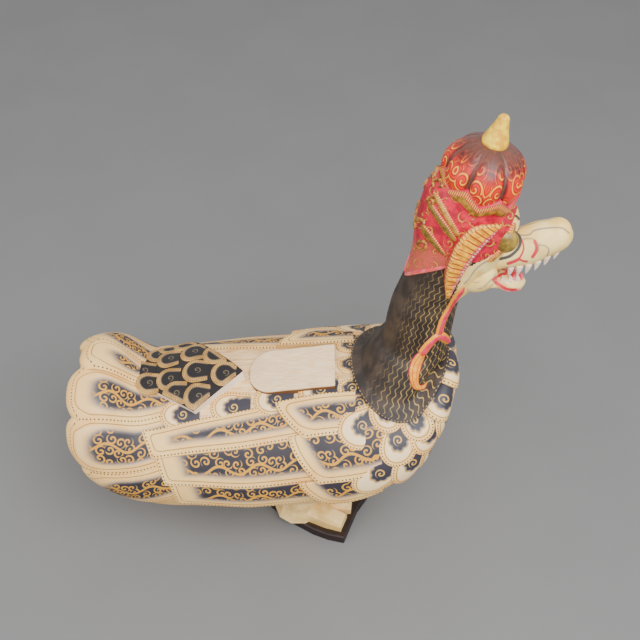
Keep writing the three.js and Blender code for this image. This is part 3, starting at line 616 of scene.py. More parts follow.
def rump(carving):
    """A slanting block with sawn front walls, covered with small scales."""
    rows = np.concatenate([np.linspace(RUMP_FRONT, -121.5, 36), np.linspace(-123, RUMP_REAR, 44)])
    x, across = np.meshgrid(rows, np.linspace(0, 1, 41), indexing="ij")
    right = np.interp(x, RUMP_RIGHT[:, 0], RUMP_RIGHT[:, 1])
    left = np.interp(x, RUMP_LEFT[:, 0], RUMP_LEFT[:, 1])
    angle = mix(right, left, across)
    top = on_trunk(x, angle, rump_lift(x))
    carving.add(top, grid_faces(*x.shape), RUMP, field=(-9, 0, 0), border=(9, 0, 0))
    for column in (0, -1):
        wall = np.stack([top[:, column], on_trunk(rows, angle[:, column], -FEATHER_DEPTH)], axis=1)
        carving.add(wall, grid_faces(len(rows), 2), RAW, border=(0, 0, 1))
    for x_middle, angle_middle in RUMP_SCALES:
        rump_scale(carving, x_middle, angle_middle)


def rump_scale(carving, x_middle, angle_middle):
    """A small scale that keeps within the rump's block."""

    def spot(along, across, lift):
        x = np.minimum(x_middle - 27 * (along - 0.45), RUMP_FRONT - 1)
        low = np.interp(x, RUMP_RIGHT[:, 0], RUMP_RIGHT[:, 1]) + 0.4
        high = np.interp(x, RUMP_LEFT[:, 0], RUMP_LEFT[:, 1]) - 0.4
        turn = angle_middle + 17 * across
        if x_middle > RUMP_REAR + 25:
            turn = np.clip(turn, low, high)
        return on_trunk(x, turn, np.where(lift < -1, lift, lift + rump_lift(x)))

    scale(carving, spot, 0.3, 1.8, RUMP, bevel=0.8)


SEAT_LENGTH, SEAT_HALF_WIDTH, SEAT_FRONT, SEAT_ROUNDING = 91.0, 30.0, 23.0, 24.0
SEAT_DEPTH = 0.045


def seat(carving):
    """A flat sawn seat with a round rear end, level across and rising slightly forward."""
    rear = SEAT_FRONT - SEAT_LENGTH
    low, high = on_top(rear, 0, SEAT_REAR_RELIEF), on_top(SEAT_FRONT, 0, SEAT_FRONT_RELIEF)
    slope = (high[2] - low[2]) / (high[0] - low[0])
    reach = np.linspace(0, 1, 46)
    x = mix(SEAT_FRONT, rear, reach)
    behind = np.clip((rear + SEAT_ROUNDING - x) / SEAT_ROUNDING, 0, 1)
    half = SEAT_HALF_WIDTH * np.sqrt(np.clip(1 - behind**2, 0.0004, 1))
    spread = np.linspace(-1, 1, 41)
    grid_x, share = np.meshgrid(x, spread, indexing="ij")
    y = half[:, None] * share * PACE
    top = triples(grid_x * PACE, y, high[2] + slope * (grid_x * PACE - high[0]))
    worn = 0.0004 * np.sin(grid_x * 0.21 + 1.7 * share) * np.cos(2.3 * share)
    top[..., 2] += worn - 0.0006 * np.abs(share) ** 8
    field = triples(grid_x * PACE / MM, y / MM, 0)
    rim = (np.abs(share) > 0.99) | (grid_x < rear + 0.1)
    drawn = triples(1, 0.9 * rim, 0)
    carving.add(top, grid_faces(*grid_x.shape), RAW, field=field, border=drawn)
    ring = rim_of(top)
    walls(carving, ring, ring - np.array([0, 0, SEAT_DEPTH]), RAW, border=(0, 1, 0))


def trunk_core(carving):
    """The bare trunk under the feathers, closed at both ends."""
    turns = np.degrees(turns_around(120))
    rounding = np.sin(np.radians(np.linspace(16, 86, 30)))
    breast = BREAST_START + BREAST_REACH * rounding ** (2 / BREAST_BLUNTNESS)
    x = np.concatenate([np.linspace(TRUNK_REAR, breast[0] - 3, 80), breast])
    grid_x, angle = np.meshgrid(x, turns, indexing="ij")
    skin = on_trunk(grid_x, angle, -0.4)
    rear, front = skin[0].mean(axis=0), skin[-1].mean(axis=0)
    rear[0] -= 3 * PACE
    shares = np.array([0.25, 0.5, 0.75, 0.93])[:, None, None]
    back = rear + (skin[0] - rear) * shares
    back[..., 0] = rear[0] + (skin[0, 0, 0] - rear[0]) * shares[..., 0] ** 2
    skin = np.concatenate([back, skin])
    rows, columns = skin.shape[:2]
    points = np.concatenate([skin.reshape(-1, 3), [rear, front]])
    faces = grid_faces(rows, columns, around=True)
    last = (rows - 1) * columns
    for column in range(columns):
        beside = (column + 1) % columns
        faces.append((rows * columns, beside, column))
        faces.append((rows * columns + 1, last + column, last + beside))
    carving.add(points, faces, CREAM, field=points / MM)


def carve_body():
    """The whole body, from the trunk outwards."""
    carving = Carving()
    trunk_core(carving)
    for side in (1, -1):
        for index in range(len(QUILL_TIPS)):
            quill(carving, index, side)
            covert(carving, index, side)
        for index in range(1, len(TAIL_TIPS)):
            tail_feather(carving, index, side)
    for x in BACK_SCALE_PLACES:
        back_scale(carving, x)
    tail_feather(carving, 0, 1)
    breast_scales(carving)
    rump(carving)
    seat(carving)
    return carving


# ---------------------------------------------------------------- neck and head

COLLAR = (90.0, 50.0, 67.0)
STEM = [
    # back x z, front x z, half width
    (63, 200, 136.5, 200, 41), (71, 213, 139, 213, 34), (74.5, 240, 140.5, 240, 32.5),
    (78, 262, 142, 262, 31.5), (84, 283, 145, 278, 31), (89.5, 303, 156, 292, 32.5),
]
SKULL = [
    (92.5, 325, 172, 314, 34.5), (93.5, 349, 181, 341, 37), (94.5, 366, 186.5, 361, 38),
    (97.5, 387, 184, 374, 36), (102.5, 402, 179, 382, 33), (110, 413, 178, 389, 34),
]

# Share of the collar's half widths and lift off the trunk in mm, from its underside to its top
COLLAR_UNDERSIDE = [(0.8, 0.3), (0.86, COLLAR_RECESS), (0.99, COLLAR_RECESS)]
COLLAR_RIM = [(0.99, COLLAR_RECESS), (1.0, COLLAR_RECESS + 0.25 * COLLAR_THICKNESS),
              (0.997, COLLAR_THICKNESS - 0.8), (0.985, COLLAR_THICKNESS - 0.1)]
COLLAR_TOP = [(0.985, COLLAR_THICKNESS), (0.93, COLLAR_THICKNESS + 0.4),
              (0.83, COLLAR_THICKNESS + 1.4), (0.74, COLLAR_THICKNESS + 5)]

# Paints of the neck and head
(NECK, CROWN_RED, FACE, BUN, GOLD, STRAP, EAR_WING, RIBBON, EYE, MOUTH, TOOTH, BAND, OLIVE, TASSEL,
 CURL) = range(15)


def oval_ring(entry, count):
    """A slanting oval ring of the neck or the skull."""
    back_x, back_z, front_x, front_z, half = entry
    turn = turns_around(count)
    share = (1 + np.cos(turn)) / 2
    return place(mix(back_x, front_x, share), half * np.sin(turn), mix(back_z, front_z, share))


def collar_rings(profile, count):
    """Rings of the oval collar, which follow the trunk."""
    turn = turns_around(count)
    x, half_length, half_width = COLLAR
    return [on_top(x + share * half_length * np.cos(turn), share * half_width * np.sin(turn), lift)
            for share, lift in profile]


def smooth_rings(rings, between):
    """Rings joined by a smooth curve through each of their points."""
    rings = np.stack(rings)
    padded = np.concatenate([2 * rings[:1] - rings[1:2], rings, 2 * rings[-1:] - rings[-2:-1]])
    made = []
    for index in range(len(rings) - 1):
        a, b, c, d = padded[index:index + 4]
        for t in np.linspace(0, 1, between, endpoint=False):
            made.append(0.5 * (2 * b + (c - a) * t + (2 * a - 5 * b + 4 * c - d) * t**2
                               + (3 * b - a - 3 * c + d) * t**3))
    made.append(rings[-1])
    return np.stack(made)


def ring_sheet(carving, rings, slot, start=None, end=None, border=None, field=None):
    """A skin through closed rings, with a pole at either end where one is given."""
    rows, columns = rings.shape[:2]
    faces = grid_faces(rows, columns, around=True)
    points = rings.reshape(-1, 3)
    poles = []
    for pole, row in ((start, 0), (end, rows - 1)):
        if pole is None:
            continue
        tip = rows * columns + len(poles)
        poles.append(pole)
        for column in range(columns):
            faces.append((tip, row * columns + column, row * columns + (column + 1) % columns))
    if poles:
        points = np.concatenate([points, poles])

    def padded(values):
        if values is None:
            return (0, 0, 0)
        values = values.reshape(-1, 3)
        return np.concatenate([values, np.repeat(values[-1:], len(poles), axis=0)]) if poles else values

    carving.add(points, faces, slot, border=padded(border), field=padded(field))


AROUND = 144
# Where the face meets the crown and where the crown meets the neck, in the photograph
FACE_LINE = np.array([(452, 300), (466, 268), (486, 259), (500, 250), (512, 225), (520, 200)], float)
NAPE_LINE = np.array([(400, 275), (444.5, 267), (470, 262)], float)
SKULL_FROM = 0.41


def neck(carving):
    """Collar and neck, with the turn round it and the distance up from the collar's rim as its field."""
    over = smooth_rings([*collar_rings(COLLAR_TOP, AROUND),
                         *(oval_ring(entry, AROUND) for entry in (*STEM, *SKULL))], 12)
    rings = np.concatenate([np.stack(collar_rings(COLLAR_UNDERSIDE + COLLAR_RIM, AROUND)), over])
    steps = np.linalg.norm(np.diff(rings, axis=0), axis=-1)
    height = np.concatenate([np.zeros((1, AROUND)), np.cumsum(steps, axis=0)]) / MM
    height -= height[len(COLLAR_UNDERSIDE) + 1]
    turn = turns_around(AROUND) / (2 * np.pi)
    turn = np.minimum(turn, 1 - turn)
    field = triples(turn, height, rings[..., 2] / MM)
    rows, columns = rings.shape[:2]
    points = np.concatenate([rings.reshape(-1, 3), rings[:1].mean(axis=1)])
    fields = np.concatenate([field.reshape(-1, 3), field[0, :1]])
    faces = [(rows * columns, (column + 1) % columns, column) for column in range(columns)]
    faces += grid_faces(rows, columns, around=True)
    for slot, chosen in painted_parts(points, faces).items():
        used = sorted({corner for face in chosen for corner in face})
        order = {corner: index for index, corner in enumerate(used)}
        chosen = [tuple(order[corner] for corner in face) for face in chosen]
        carving.add(points[used], chosen, slot, field=fields[used])


def painted_parts(points, faces):
    """The faces of the neck and skull by their paint, as the photograph parts them."""
    places = picture_places(points)
    parts = {NECK: [], FACE: [], CROWN_RED: []}
    for face in faces:
        px, py, _ = places[list(face)].mean(axis=0)
        height = points[face[0], 2]
        if height > SKULL_FROM and px > np.interp(-py, -FACE_LINE[:, 1], FACE_LINE[:, 0]):
            parts[FACE].append(face)
        elif height > SKULL_FROM and py < np.interp(px, NAPE_LINE[:, 0], NAPE_LINE[:, 1]):
            parts[CROWN_RED].append(face)
        else:
            parts[NECK].append(face)
    return parts


def muzzle(carving, stations, tip):
    """An oval snout or jaw through its stations, closed at its tip."""
    turn = turns_around(120)
    rings = [place(x, half * np.sin(turn), z + tall * np.cos(turn)) for x, z, half, tall in stations]
    rings = smooth_rings(rings, 13)
    ring_sheet(carving, rings, FACE, start=rings[0].mean(axis=0), end=place(*tip))


# x, z, half width and half height of each station
SNOUT = [(162, 325, 20, 17), (180, 326.5, 18, 17), (193, 330.5, 17.5, 19.5), (205, 335, 17.5, 21),
         (216, 340, 16.5, 18.5), (225, 344, 15.5, 17), (233, 345, 11.5, 12.5), (237.8, 343.6, 4.8, 5.4)]
SNOUT_TIP = (239, 0, 343)
JAW = [(150, 299, 22, 12), (172, 294, 15.5, 7.5), (187, 289.5, 13, 9), (198, 287.5, 9.5, 7.5),
       (203, 287, 4.5, 3.6)]
JAW_TIP = (205, 0, 287)


# Middle and half sizes of the head's round forms
CHEEK = (152, 17.5, 311), (20, 15.5, 17)
EYEBALL = (171.5, 26, 358.5), (11.5, 8, 12)
TONGUE = (187, 0, 293), (15, 9, 6.5)


def ball(carving, form, side, slot):
    """A round form of the head, on one side of the middle plane."""
    (x, y, z), (long, wide, tall) = form
    y = side * y
    turn = turns_around(32)
    rings = []
    for height in np.radians(np.linspace(-84, 84, 20)):
        reach = math.cos(height)
        rings.append(place(x + long * reach * np.cos(turn), y + wide * reach * np.sin(turn),
                           z + tall * math.sin(height)))
    ring_sheet(carving, np.stack(rings), slot, start=place(x, y, z - tall), end=place(x, y, z + tall))


TOOTH_RADIUS = 3.1
# The first and the last tooth of a row on one side, how many, their length and the bow of the row
UPPER_TEETH = ((184, 14.5, 311.5), (224, 10.5, 329.5), 6, -12, 2)
LOWER_TEETH = ((180, 10.5, 300), (195, 6, 296.5), 3, 9, 1)


def tooth(carving, x, y, z, length):
    """A slightly hooked tooth. One of negative length points down."""
    turn = turns_around(12)
    rings = []
    for share in np.linspace(0, 0.94, 7):
        radius = TOOTH_RADIUS * (1 - share**1.6)
        drop = (share - 0.5) * length
        lean = -1.2 * share**2
        rings.append(place(x + lean + radius * np.cos(turn), y + 0.8 * radius * np.sin(turn), z + drop))
    tip = place(x - 1.3, y, z + 0.5 * length)
    ring_sheet(carving, np.stack(rings), TOOTH, start=rings[0].mean(axis=0), end=tip)


def teeth(carving):
    """Both rows of teeth on both sides."""
    for side in (1, -1):
        for first, last, count, length, bow in (UPPER_TEETH, LOWER_TEETH):
            for share in np.linspace(0, 1, count):
                x, y, z = (mix(a, b, s) for a, b, s in zip(first, last, (share, share**bow, share**bow)))
                tooth(carving, x, side * y, z, length)


BUN_AT, BUN_RADIUS, BUN_HALF_HEIGHT, BUN_LEAN = (148, 415.5), 37.4, 30.0, math.radians(11)
BUN_SEAM = math.radians(33)


def bun_place(radius, turn, z):
    """A place of the leaning bun, from its axis, its turn and its height over the bun's middle."""
    x = radius * np.cos(turn)
    return place(BUN_AT[0] + x * math.cos(BUN_LEAN) + z * math.sin(BUN_LEAN), radius * np.sin(turn),
                 BUN_AT[1] - x * math.sin(BUN_LEAN) + z * math.cos(BUN_LEAN))


def bun(carving):
    """The lobed bun, whose field is the share from a seam, the height and the lobe's number."""
    count = 16 * BUN_LOBES
    turn = turns_around(count)
    lobe = np.abs(np.sin(0.5 * BUN_LOBES * turn)) ** 0.6
    lobe_at = turn / (2 * np.pi) * BUN_LOBES
    seam = np.minimum(lobe_at % 1.0, 1 - lobe_at % 1.0)
    rings, field = [], []
    for height in np.linspace(-48, 86, 44):
        radius = BUN_RADIUS * math.cos(math.radians(height))
        pinch = mix(0.14, 0.03, abs(height) / 90)
        rings.append(bun_place(radius * (1 - pinch + pinch * lobe), turn + BUN_SEAM,
                               BUN_HALF_HEIGHT * math.sin(math.radians(height))))
        field.append(triples(seam * 2, height / 90, np.floor(lobe_at)))
    ring_sheet(carving, np.stack(rings), BUN, end=bun_place(0, 0, BUN_HALF_HEIGHT), field=np.stack(field))


FINIAL_FOOT = 29.3
# Radius and height of the finial's rings, from its foot inside the bun
FINIAL = [(9, -8), (11.5, 0), (11.2, 3.2), (9.6, 8), (8, 12.5), (6.6, 17), (5.4, 21), (4.8, 24),
          (3.4, 26), (1.5, 26.6)]
FINIAL_HEIGHT = 26.7


def finial(carving):
    """The turned finial on the bun."""
    turn = turns_around(32)
    rings = smooth_rings([bun_place(radius, turn, FINIAL_FOOT + height) for radius, height in FINIAL], 4)
    ring_sheet(carving, rings, GOLD, end=bun_place(0, 0, FINIAL_FOOT + FINIAL_HEIGHT))


CROWN_RIM_AT, CROWN_RIM_LEAN = (144.5, 400), math.radians(18)
# Radius, height and share across the band, from its inside below to its inside above
CROWN_RIM = [(30, -9, 0), (34.6, -9.2, 0.08), (35.6, -8, 0.2), (36.4, -3, 0.6), (36.2, 1.4, 0.96),
             (35, 2.4, 1), (32, 2.6, 1), (30, 1, 1)]


def crown_rim(carving):
    """A zigzag band whose points rise between the bun's lobes."""
    count = 16 * BUN_LOBES
    sine, cosine = math.sin(CROWN_RIM_LEAN), math.cos(CROWN_RIM_LEAN)
    turn = turns_around(count)
    wave = np.abs(((turn / (2 * np.pi) * BUN_LOBES) % 1.0) * 2 - 1)
    rings, field = [], []
    for radius, height, share in CROWN_RIM:
        up = height + wave * mix(6, 10, share)
        x = radius * np.cos(turn + BUN_SEAM)
        rings.append(place(CROWN_RIM_AT[0] + x * cosine + up * sine, radius * np.sin(turn + BUN_SEAM),
                           CROWN_RIM_AT[1] - x * sine + up * cosine))
        field.append(triples(turn * 50, share, wave))
    ring_sheet(carving, np.stack(rings), STRAP, field=np.stack(field))


def spline(points, count):
    """Points on a smooth curve through the given ones, evenly spaced along it."""
    points = np.asarray(points, float)
    rows = smooth_rings(points[:, None, :], 24)[:, 0]
    steps = np.concatenate([[0], np.cumsum(np.linalg.norm(np.diff(rows, axis=0), axis=1))])
    wanted = np.linspace(0, steps[-1], count)
    return np.stack([np.interp(wanted, steps, rows[:, c]) for c in range(rows.shape[1])], axis=1)


# x and z of the ear wing's outer and inner edge, its ribs, and half the width between the wings
EAR_WING_OUTER = [(123, 301), (120, 322), (120.5, 344), (126, 368), (139, 385.5), (163.5, 387.5)]
EAR_WING_INNER = [(127, 301), (132, 322), (139, 343), (147.5, 360), (156.5, 375), (163.5, 387)]
EAR_WING_RIBS, EAR_WING_FLARE, EAR_WING_DEPTH, EAR_WING_LENGTH = 10, 39, 8, 96


def ear_wing(carving, side):
    """The curved, ribbed wing behind the eye, a thick sheet that stands off the head."""
    share = np.linspace(0, 0.985, 110)
    place_at = (share * 199).astype(int)
    outer, inner = spline(EAR_WING_OUTER, 200)[place_at], spline(EAR_WING_INNER, 200)[place_at]
    ribs = np.abs(np.sin(share * EAR_WING_RIBS * np.pi))
    spread = eased(16, 0.5)
    flare = EAR_WING_FLARE + 4 * np.sin(np.pi * share)
    reach = outer + (outer - inner) * (0.03 * ribs)[:, None]
    grid = inner[:, None] + (reach - inner)[:, None] * spread[None, :, None]
    round_edge = 1 - np.abs(2 * spread - 1) ** 6
    y = flare[:, None] - 2.2 * (1 - round_edge)[None] + (1.1 * ribs)[:, None] * round_edge[None]
    top = place(grid[..., 0], side * y, grid[..., 1])
    low = place(grid[..., 0], side * (flare[:, None] - EAR_WING_DEPTH), grid[..., 1])
    run = share * EAR_WING_LENGTH
    field = triples(run[:, None], spread[None], share[:, None])
    carving.add(top, grid_faces(*y.shape), EAR_WING, field=field)
    walls(carving, rim_of(top), rim_of(low), CROWN_RED)


class Ground:
    """The plain head, on which raised bands and curls are laid by their places in the photograph."""

    def __init__(self, carving):
        points = np.concatenate(carving.points)
        self.tree = BVHTree.FromPolygons(points.tolist(), carving.faces)

    def seen(self, px, py):
        """The place of the head at a place of the photograph, and its normal there."""
        location, normal, _, _ = self.tree.ray_cast(Vector(CAMERA_SPOT), Vector(sight_line(px, py)))
        return (None, None) if location is None else (np.array(location), np.array(normal))

    def behind(self, point, slack=0.008):
        """The place of the head that shows where a point does, or the point itself past the head's edge."""
        px, py, _ = to_picture(point)
        location, normal = self.seen(px, py)
        if location is None or np.linalg.norm(location - point) > slack:
            return point, None
        return location, normal


def raised_band(carving, ground, path, widths, rise, slot):
    """A band laid along places of the photograph, on the right side and mirrored on the left."""
    count, across = 40, 9
    found = (ground.seen(px, py)[0] for px, py in spline(path, count))
    places = spline([location for location in found if location is not None], count)
    half = np.interp(np.linspace(0, 1, count), np.linspace(0, 1, len(widths)), widths) * MM
    spread = np.linspace(-1, 1, across)
    tangents = np.gradient(places, axis=0)
    rows, field = [], []
    run = np.concatenate([[0], np.cumsum(np.linalg.norm(np.diff(places, axis=0), axis=1))]) / MM
    normal = np.array([0.0, -1.0, 0.0])
    for index in range(count):
        _, found = ground.behind(places[index])
        normal = normal if found is None else found
        sideways = np.cross(tangents[index], normal)
        sideways /= max(np.linalg.norm(sideways), 1e-9)
        ends = min(1.0, 7.0 * min(index, count - 1 - index) / count + 0.3)
        row = []
        for share in spread:
            spot, out = ground.behind(places[index] + sideways * share * half[index] * ends)
            height = rise * (1 - share**2) - 0.6 * share**8
            row.append(spot + (normal if out is None else out) * height * MM * min(1, ends * 1.5))
        rows.append(row)
        field.append(triples(run[index], spread, half[index] / MM))
    for side in (1, -1):
        carving.add(np.array(rows) * np.array([1, side, 1]), grid_faces(count, across), slot, field=field)


# Bands on the head and neck: path in the photograph, half widths and rise in mm, paint
BANDS = [
    ([(405, 274.5), (416, 272.5), (431, 270), (447, 266.5)], [2.6, 2.6, 2.6], 1.6, BAND),
    ([(434, 192), (444, 211), (452, 225), (459, 237)], [3.8, 4, 4, 3.4], 2.5, STRAP),
    ([(428, 201), (437, 216), (447, 230), (456, 242)], [4.4, 5.2, 5.2, 3.4], 2.2, OLIVE),
    ([(421, 226), (428, 235), (437, 246), (446, 256)], [7, 8, 5, 1.6], 2.2, OLIVE),
    ([(426, 202), (430, 198), (434, 202), (431, 206)], [2.4, 2.6, 1.6], 2.6, CURL),
    ([(415, 228), (416, 221), (423, 220), (424, 227), (419, 228)], [2.4, 2.6, 1.8], 2.6, CURL),
    ([(418, 250), (418, 243), (425, 242), (426, 248), (421, 249)], [2.2, 2.4, 1.6], 2.2, CURL),
    ([(434, 187), (434, 181), (440, 180), (442, 186), (438, 187)], [2.2, 2.4, 1.6], 2.4, CURL),
    ([(488, 261), (499, 251.5), (505, 244), (509, 235), (514, 223)], [2.4, 5.4, 6, 5.6, 4], 4.4, STRAP),
    ([(464, 287), (453, 302), (443, 320), (437.6, 340)], [6, 6.4, 6.4, 6.4], 2.8, RIBBON),
    ([(455, 349), (448, 341), (439, 336), (429, 344), (420, 356)], [5, 6, 7, 7, 6.5], 3.8, RIBBON),
    ([(424, 350), (417, 362), (414, 375), (416, 386), (423, 387), (427, 382)],
     [5, 7.5, 8, 6, 4, 3], 3.6, TASSEL),
    ([(494, 280), (503, 286.5), (514, 290.5), (523, 287)], [2.4, 3.4, 3.4, 2], 1.2, MOUTH),
]


def carve_head():
    """The neck with the head, its crown and its ribbons."""
    carving = Carving()
    neck(carving)
    muzzle(carving, SNOUT, SNOUT_TIP)
    muzzle(carving, JAW, JAW_TIP)
    for side in (1, -1):
        ball(carving, CHEEK, side, FACE)
    ground = Ground(carving)
    for side in (1, -1):
        ball(carving, EYEBALL, side, EYE)
        ear_wing(carving, side)
    ball(carving, TONGUE, 1, MOUTH)
    teeth(carving)
    crown_rim(carving)
    bun(carving)
    finial(carving)
    for path, widths, rise, slot in BANDS:
        raised_band(carving, ground, path, widths, rise, slot)
    return carving


# ---------------------------------------------------------------- paint


def colour(code):
    """A hex colour of the screen as a linear one."""
    channels = [int(code[i:i + 2], 16) / 255 for i in (1, 3, 5)]
    linear = [c / 12.92 if c <= 0.04045 else ((c + 0.055) / 1.055) ** 2.4 for c in channels]
    return (*linear, 1.0)


class Value:
    """A number in a material's node tree, with arithmetic."""

    def __init__(self, paint, socket):
        self.paint, self.socket = paint, socket

    def math(self, operation, *others):
        node = self.paint.add("Math", enumerate((self, *others)), operation=operation)
        return Value(self.paint, node.outputs[0])

    def __add__(self, other):
        return self.math("ADD", other)

    def __sub__(self, other):
        return self.math("SUBTRACT", other)

    def __rsub__(self, other):
        return (self * -1.0) + other

    def __mul__(self, other):
        return self.math("MULTIPLY", other)

    def __truediv__(self, other):
        return self.math("DIVIDE", other)

    def sin(self):
        return self.math("SINE")

    def abs(self):
        return self.math("ABSOLUTE")

    def fract(self):
        return self.math("FRACT")

    def most(self, other):
        return self.math("MAXIMUM", other)

    def root(self):
        return self.math("SQRT")

    def angle_to(self, other):
        return self.math("ARCTAN2", other)

    def ramp(self, low, high):
        """0 below low, 1 above high and smooth between, or the reverse where low is above high."""
        node = self.paint.add("MapRange", {
            "Value": self, "From Min": min(low, high), "From Max": max(low, high),
            "To Min": float(low > high), "To Max": float(low < high),
        }, interpolation_type="SMOOTHSTEP")
        return Value(self.paint, node.outputs[0])


def chosen(name):
    """A main colour, as the user set it."""
    return tuple(getattr(bpy.context.scene.garuda, name))


class Paint:
    """A painted wood material under construction."""

    def __init__(self, name, roughness=0.55):
        self.material = bpy.data.materials.new(name)
        self.material.use_nodes = True
        self.tree = self.material.node_tree
        self.shader = self.tree.nodes["Principled BSDF"]
        self.shader.inputs["Roughness"].default_value = roughness
        self.base = None

    def give(self, socket, item):
        """Links an output to a socket, or sets the socket's value."""
        source = item.socket if isinstance(item, Value) else item
        if isinstance(source, bpy.types.NodeSocket):
            self.tree.links.new(source, socket)
        else:
            socket.default_value = source

    def add(self, kind, inputs=(), **settings):
        """A new node with its settings, and its inputs by their names or numbers."""
        node = self.tree.nodes.new("ShaderNode" + kind)
        for name, value in settings.items():
            setattr(node, name, value)
        for name, item in dict(inputs).items():
            self.give(node.inputs[name], item)
        return node

    def numbers(self, socket):
        """The three numbers of a vector or a colour."""
        parts = self.add("SeparateXYZ", {0: socket})
        return [Value(self, parts.outputs[i]) for i in range(3)]

    def attribute(self, name):
        """The three numbers of a point attribute."""
        return self.numbers(self.add("Attribute", attribute_name=name).outputs["Vector"])

    def noise(self, size_mm, detail=3.0, stretch=(1, 1, 1), distortion=0.0):
        """Noise in object space, with blots of about the given size."""
        mapping = self.add("Mapping", {
            "Vector": self.add("TexCoord").outputs["Object"],
            "Scale": [share * 1000 / size_mm for share in stretch],
        })
        noise = self.add("TexNoise", {
            "Vector": mapping.outputs["Vector"], "Scale": 1.0, "Detail": detail, "Distortion": distortion,
        })
        return Value(self, noise.outputs["Fac"])

    def mottle(self, size_mm, first, second, low=0.35, high=0.65, detail=4, distortion=0.0):
        """A ground that is mottled between two colours. Returns its blots."""
        blots = self.noise(size_mm, detail, distortion=distortion)
        self.base = self.blend(blots.ramp(low, high), first, second)
        return blots

    def blend(self, share, first, second):
        """The first colour where the share is 0 and the second where it is 1."""
        node = self.add("Mix", {"Factor": share}, data_type="RGBA")
        sockets = {socket.name: socket for socket in node.inputs if socket.type == "RGBA"}
        for name, item in (("A", first), ("B", second)):
            self.give(sockets[name], colour(item) if isinstance(item, str) else item)
        return Value(self, [socket for socket in node.outputs if socket.type == "RGBA"][0])

    def lay(self, share, item):
        """Paints a colour over what is there, where the share is 1."""
        self.base = self.blend(share, self.base, item)

    def finish(self, height, depth_mm=0.3):
        """The material, with the paint's own relief."""
        self.give(self.shader.inputs["Base Color"], self.base)
        bump = self.add("Bump", {"Distance": depth_mm * MM, "Strength": 1.0, "Height": height})
        self.give(self.shader.inputs["Normal"], bump.outputs["Normal"])
        return self.material


# Dots along an edge: their distance from it, spacing and radius in mm
FEATHER_DOTS, SCALE_DOTS, RUMP_DOTS = (3.4, 4.7, 1.1), (2.8, 4.2, 1.0), (1.6, 3.0, 0.75)
# Lines along an edge: their distance from it and half width in mm
FEATHER_LINE, SCALE_LINE, RUMP_LINE = (9, 0.55), (6.4, 0.5), (3.7, 0.35)


def dotted(run, edge, at, spacing, radius):
    """A row of round dots along an edge."""
    along = ((run / spacing).fract() - 0.5) * spacing
    across = edge - at
    return (along * along + across * across).root().ramp(radius * 1.2, radius * 0.7)


def drawn_line(distance, at, half_width):
    """A thin line at the given distance from an edge."""
    return (distance - at).abs().ramp(half_width * 1.5, half_width * 0.6)


def curls(paint, u, v, size, pitch, jitter, reach):
    """Spiral curls, one in each patch: how far each place is inside a stroke, 0 to 1.

    The pitch is the distance between a curl's turns, and the reach its radius as a share of the patch.
    """
    patches = paint.add("CombineXYZ", {0: u / size, 1: v / size})
    cells = paint.add("TexVoronoi", {
        "Vector": patches.outputs[0], "Scale": 1.0, "Randomness": jitter,
    }, voronoi_dimensions="2D")
    middle_u, middle_v, _ = paint.numbers(cells.outputs["Position"])
    hand, phase, _ = paint.numbers(cells.outputs["Color"])
    x = (u / size - middle_u) * size
    y = (v / size - middle_v) * size * (hand - 0.5).math("SIGN")
    radius = (x * x + y * y).root()
    turn = y.angle_to(x) / (2 * math.pi)
    wound = 1.0 - ((radius / pitch - turn + phase).fract() - 0.5).abs() * 2.0
    return wound * (radius / size).ramp(reach + 0.06, reach - 0.04)


def scrolls(paint, u, v, size=14.0, pitch=5.6, wave=52.0):
    """Gold vine scrolls on the dark: shares of the gold strokes and of their pale outlines."""
    curl = curls(paint, u, v, size, pitch, 0.6, 0.5)
    stem = (v - (u * (2 * math.pi / wave)).sin() * 5.5).abs()
    inside = curl.most(1.0 - stem / 4.4)
    return inside.ramp(0.64, 0.74), inside.ramp(0.5, 0.6)


def feather_paint():
    """Cream border with dots, a thin line, an airbrushed dark middle and gold vine scrolls."""
    paint = Paint("airbrushed_feather_paint", 0.5)
    edge, run, rim = paint.attribute("border")
    u, v, _ = paint.attribute("field")
    line_at, shade_at, _ = paint.attribute("tone")
    blots = paint.mottle(45, chosen("cream"), "#f7bd6c", 0.3, 0.7)
    fine = paint.noise(3, 4)
    paint.lay(fine.ramp(0.58, 0.8) * 0.3, "#c08a44")
    paint.lay(blots.ramp(0.45, 0.7) * line_at.ramp(10, 14) * 0.6, "#ffe6bc")
    soft = shade_at + (blots - 0.5) * 5
    paint.lay(soft.ramp(10.5, 19.5), "#857a76")
    dark = soft.ramp(14.5, 22)
    paint.lay(dark, "#2f2a32")
    gold, pale = scrolls(paint, u, v)
    drawn = soft.ramp(15.5, 21)
    paint.lay(pale * drawn * 0.5, "#cfae72")
    paint.lay(gold * drawn, chosen("gold"))
    line = drawn_line(line_at, *FEATHER_LINE)
    paint.lay(line * 0.9, "#9a6f2a")
    dots = dotted(run, edge, *FEATHER_DOTS)
    paint.lay(dots, "#5f4517")
    paint.lay(rim.ramp(0.9, 0.1) * 0.6, "#8d6a38")
    return paint.finish(fine * 0.3 - line - dots, 0.25)


